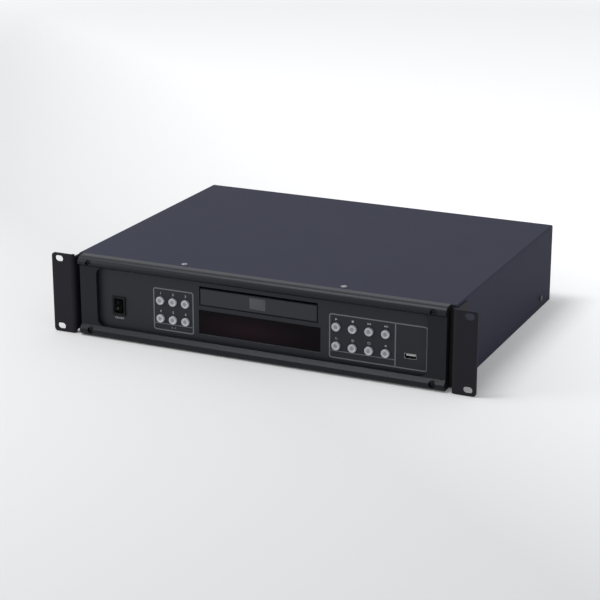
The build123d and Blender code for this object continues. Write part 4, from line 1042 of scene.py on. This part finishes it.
# %% Turntable pad and pickup lens
softened("turntable", 0.15, black_skin, "turntable")
cone_height, lens_depth, holder_depth, lens_radius = 2.55, 1.3, 1.42, 2.3
spin_spot = middle_of("turntable")
pad_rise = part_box("turntable")[1].z - cone_height * MM
washer("turntable_pad", Vector((spin_spot.x, spin_spot.y, pad_rise)), 14.4, 9.0, 0.15, belt_rubber,
       "turntable")
sled = softened("laser_sled", 0.25, black_skin, "sled")
low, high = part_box("laser_sled")
wear(sled, black_skin, lens_glass)
lens_spot = Vector((0, (low.y + high.y) / 2, high.z))
print("lens faces", recolour(sled, 1, lambda middle, normal: middle.z > high.z - lens_depth * MM
                             and (middle - lens_spot).xy.length < lens_radius * MM))
washer("lens_holder", Vector((0, lens_spot.y, high.z - holder_depth * MM)), 3.6, lens_radius, 0.5,
       pale_plastic, "sled")

# %% [markdown]
# The transformer is a stack of thin iron sheets round a winding of varnished copper wire. The faces of
# the winding are found by their place, and its turns run level all the way round.

# %% Transformer
transformer = softened("transformer", 0.3, core_iron, "case")
wear(transformer, core_iron, copper_wire)
core_middle, core_top = middle_of("transformer"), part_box("transformer")[1].z
coil_half_width, coil_start, coil_end = 18.6, 10.0, 38.1
limb_half_width, limb_half_depth = 9.85, 11.35


def on_the_winding(middle, normal):
    across, along = abs(middle.x - core_middle.x) / MM, abs(middle.y - core_middle.y) / MM
    below_top = (core_top - middle.z) / MM
    return across < coil_half_width and coil_start < below_top < coil_end and (
        across > limb_half_width or along > limb_half_depth)


print("winding faces", recolour(transformer, 1, on_the_winding))

# %% [markdown]
# On the boards, the plugs are pale plastic, the capacitors have dark blue sleeves with bare tops, and the
# heat sink is bare metal. The chips stay black. Each is told from the others by where it stands.

# %% Parts on the boards
parts = softened("board_parts", 0.3, part_resin, "case")
wear(parts, part_resin, pale_plastic, sleeve_skin, bare_steel)
main_low, main_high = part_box("main_board")
power_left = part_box("power_board")[0].x
plug_strip, can_strip, sink_start = 8 * MM, 36 * MM, 40 * MM
plugs = recolour(parts, 1, lambda middle, normal: middle.x > 0 and (
    middle.y < main_low.y + plug_strip or middle.y > main_high.y - plug_strip))
cans = recolour(parts, 2, lambda middle, normal: middle.x < power_left + can_strip)
bare = recolour(parts, 3, lambda middle, normal: middle.x < 0 and (
    middle.x > power_left + sink_start or normal.z > 0.9))
print("plug faces", plugs, "capacitor faces", cans, "bare faces", bare)

# %% Display tube on its board
display = softened("display_module", 0.3, tube_glass, "case")
wear(display, tube_glass, board_lacquer)
board_thickness = 1.62
board_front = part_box("display_module")[1].y - board_thickness * MM
print("board faces", recolour(display, 1, lambda middle, normal: middle.y > board_front))

# %% [markdown]
# The rest of the loader and the case has its edges broken in the same way, each by what its making
# leaves: least on the gear teeth, more on mouldings and on the motors' pressed cans.

# %% Loader and case, softened
for node, width, material, body, slot in (
        ("tray_gear", 0.06, acetal, "tray_gear", "gear_plastic"),
        ("pulley_gear", 0.06, acetal, "pulley_gear", "gear_plastic"),
        ("motor_pulley", 0.1, acetal, "motor_pulley", "gear_plastic"),
        ("lift_cam", 0.15, acetal, "lift_cam", "gear_plastic"),
        ("loading_motor", 0.3, bare_steel, "case", "motor_steel"),
        ("spindle_motor", 0.2, bare_steel, "traverse", "motor_steel"),
        ("sled_motor", 0.4, bare_steel, "traverse", "motor_steel"),
        ("traverse_frame", 0.2, black_skin, "traverse", "black_plastic"),
        ("loader_chassis", 0.2, black_skin, "case", "black_plastic"),
        ("disc_clamper", 0.2, black_skin, "clamper", "black_plastic"),
        ("clamp_bridge", 0.15, bare_steel, "case", "bridge_steel"),
        ("loader_brackets", 0.15, zinc_sheet, "case", "chassis_steel"),
        ("chassis_pan", 0.15, zinc_sheet, "case", "chassis_steel"),
        ("rear_panel", 0.12, rear_paint, "case", "rear_black"),
        ("sub_panel", 0.12, rear_paint, "case", "rear_black"),
        ("control_plate", 0.08, plate_paint, "case", "plate_black"),
        ("key_switches", 0.25, part_resin, "case", "component_black")):
    softened(node, width, material, body, segments=1)

# %% [markdown]
# ## Dressing the other solids
# The carried-over solids keep their meshes and only get their finishes.


# %% Give the solids their finishes
def dress(material, *names):
    for name in names:
        mesh = nodes[name].data
        mesh.materials.clear()
        mesh.materials.append(material)


dress(zinc_sheet, "standoffs")
dress(bare_steel, "guide_rods")
dress(belt_rubber, "drive_belt")
dress(board_lacquer, "key_boards", "main_board", "power_board")
dress(ribbon_skin, "ribbon_cable")
dress(window_filter, "display_window")
print("dressed", len([name for name in nodes if nodes[name].data.materials]))
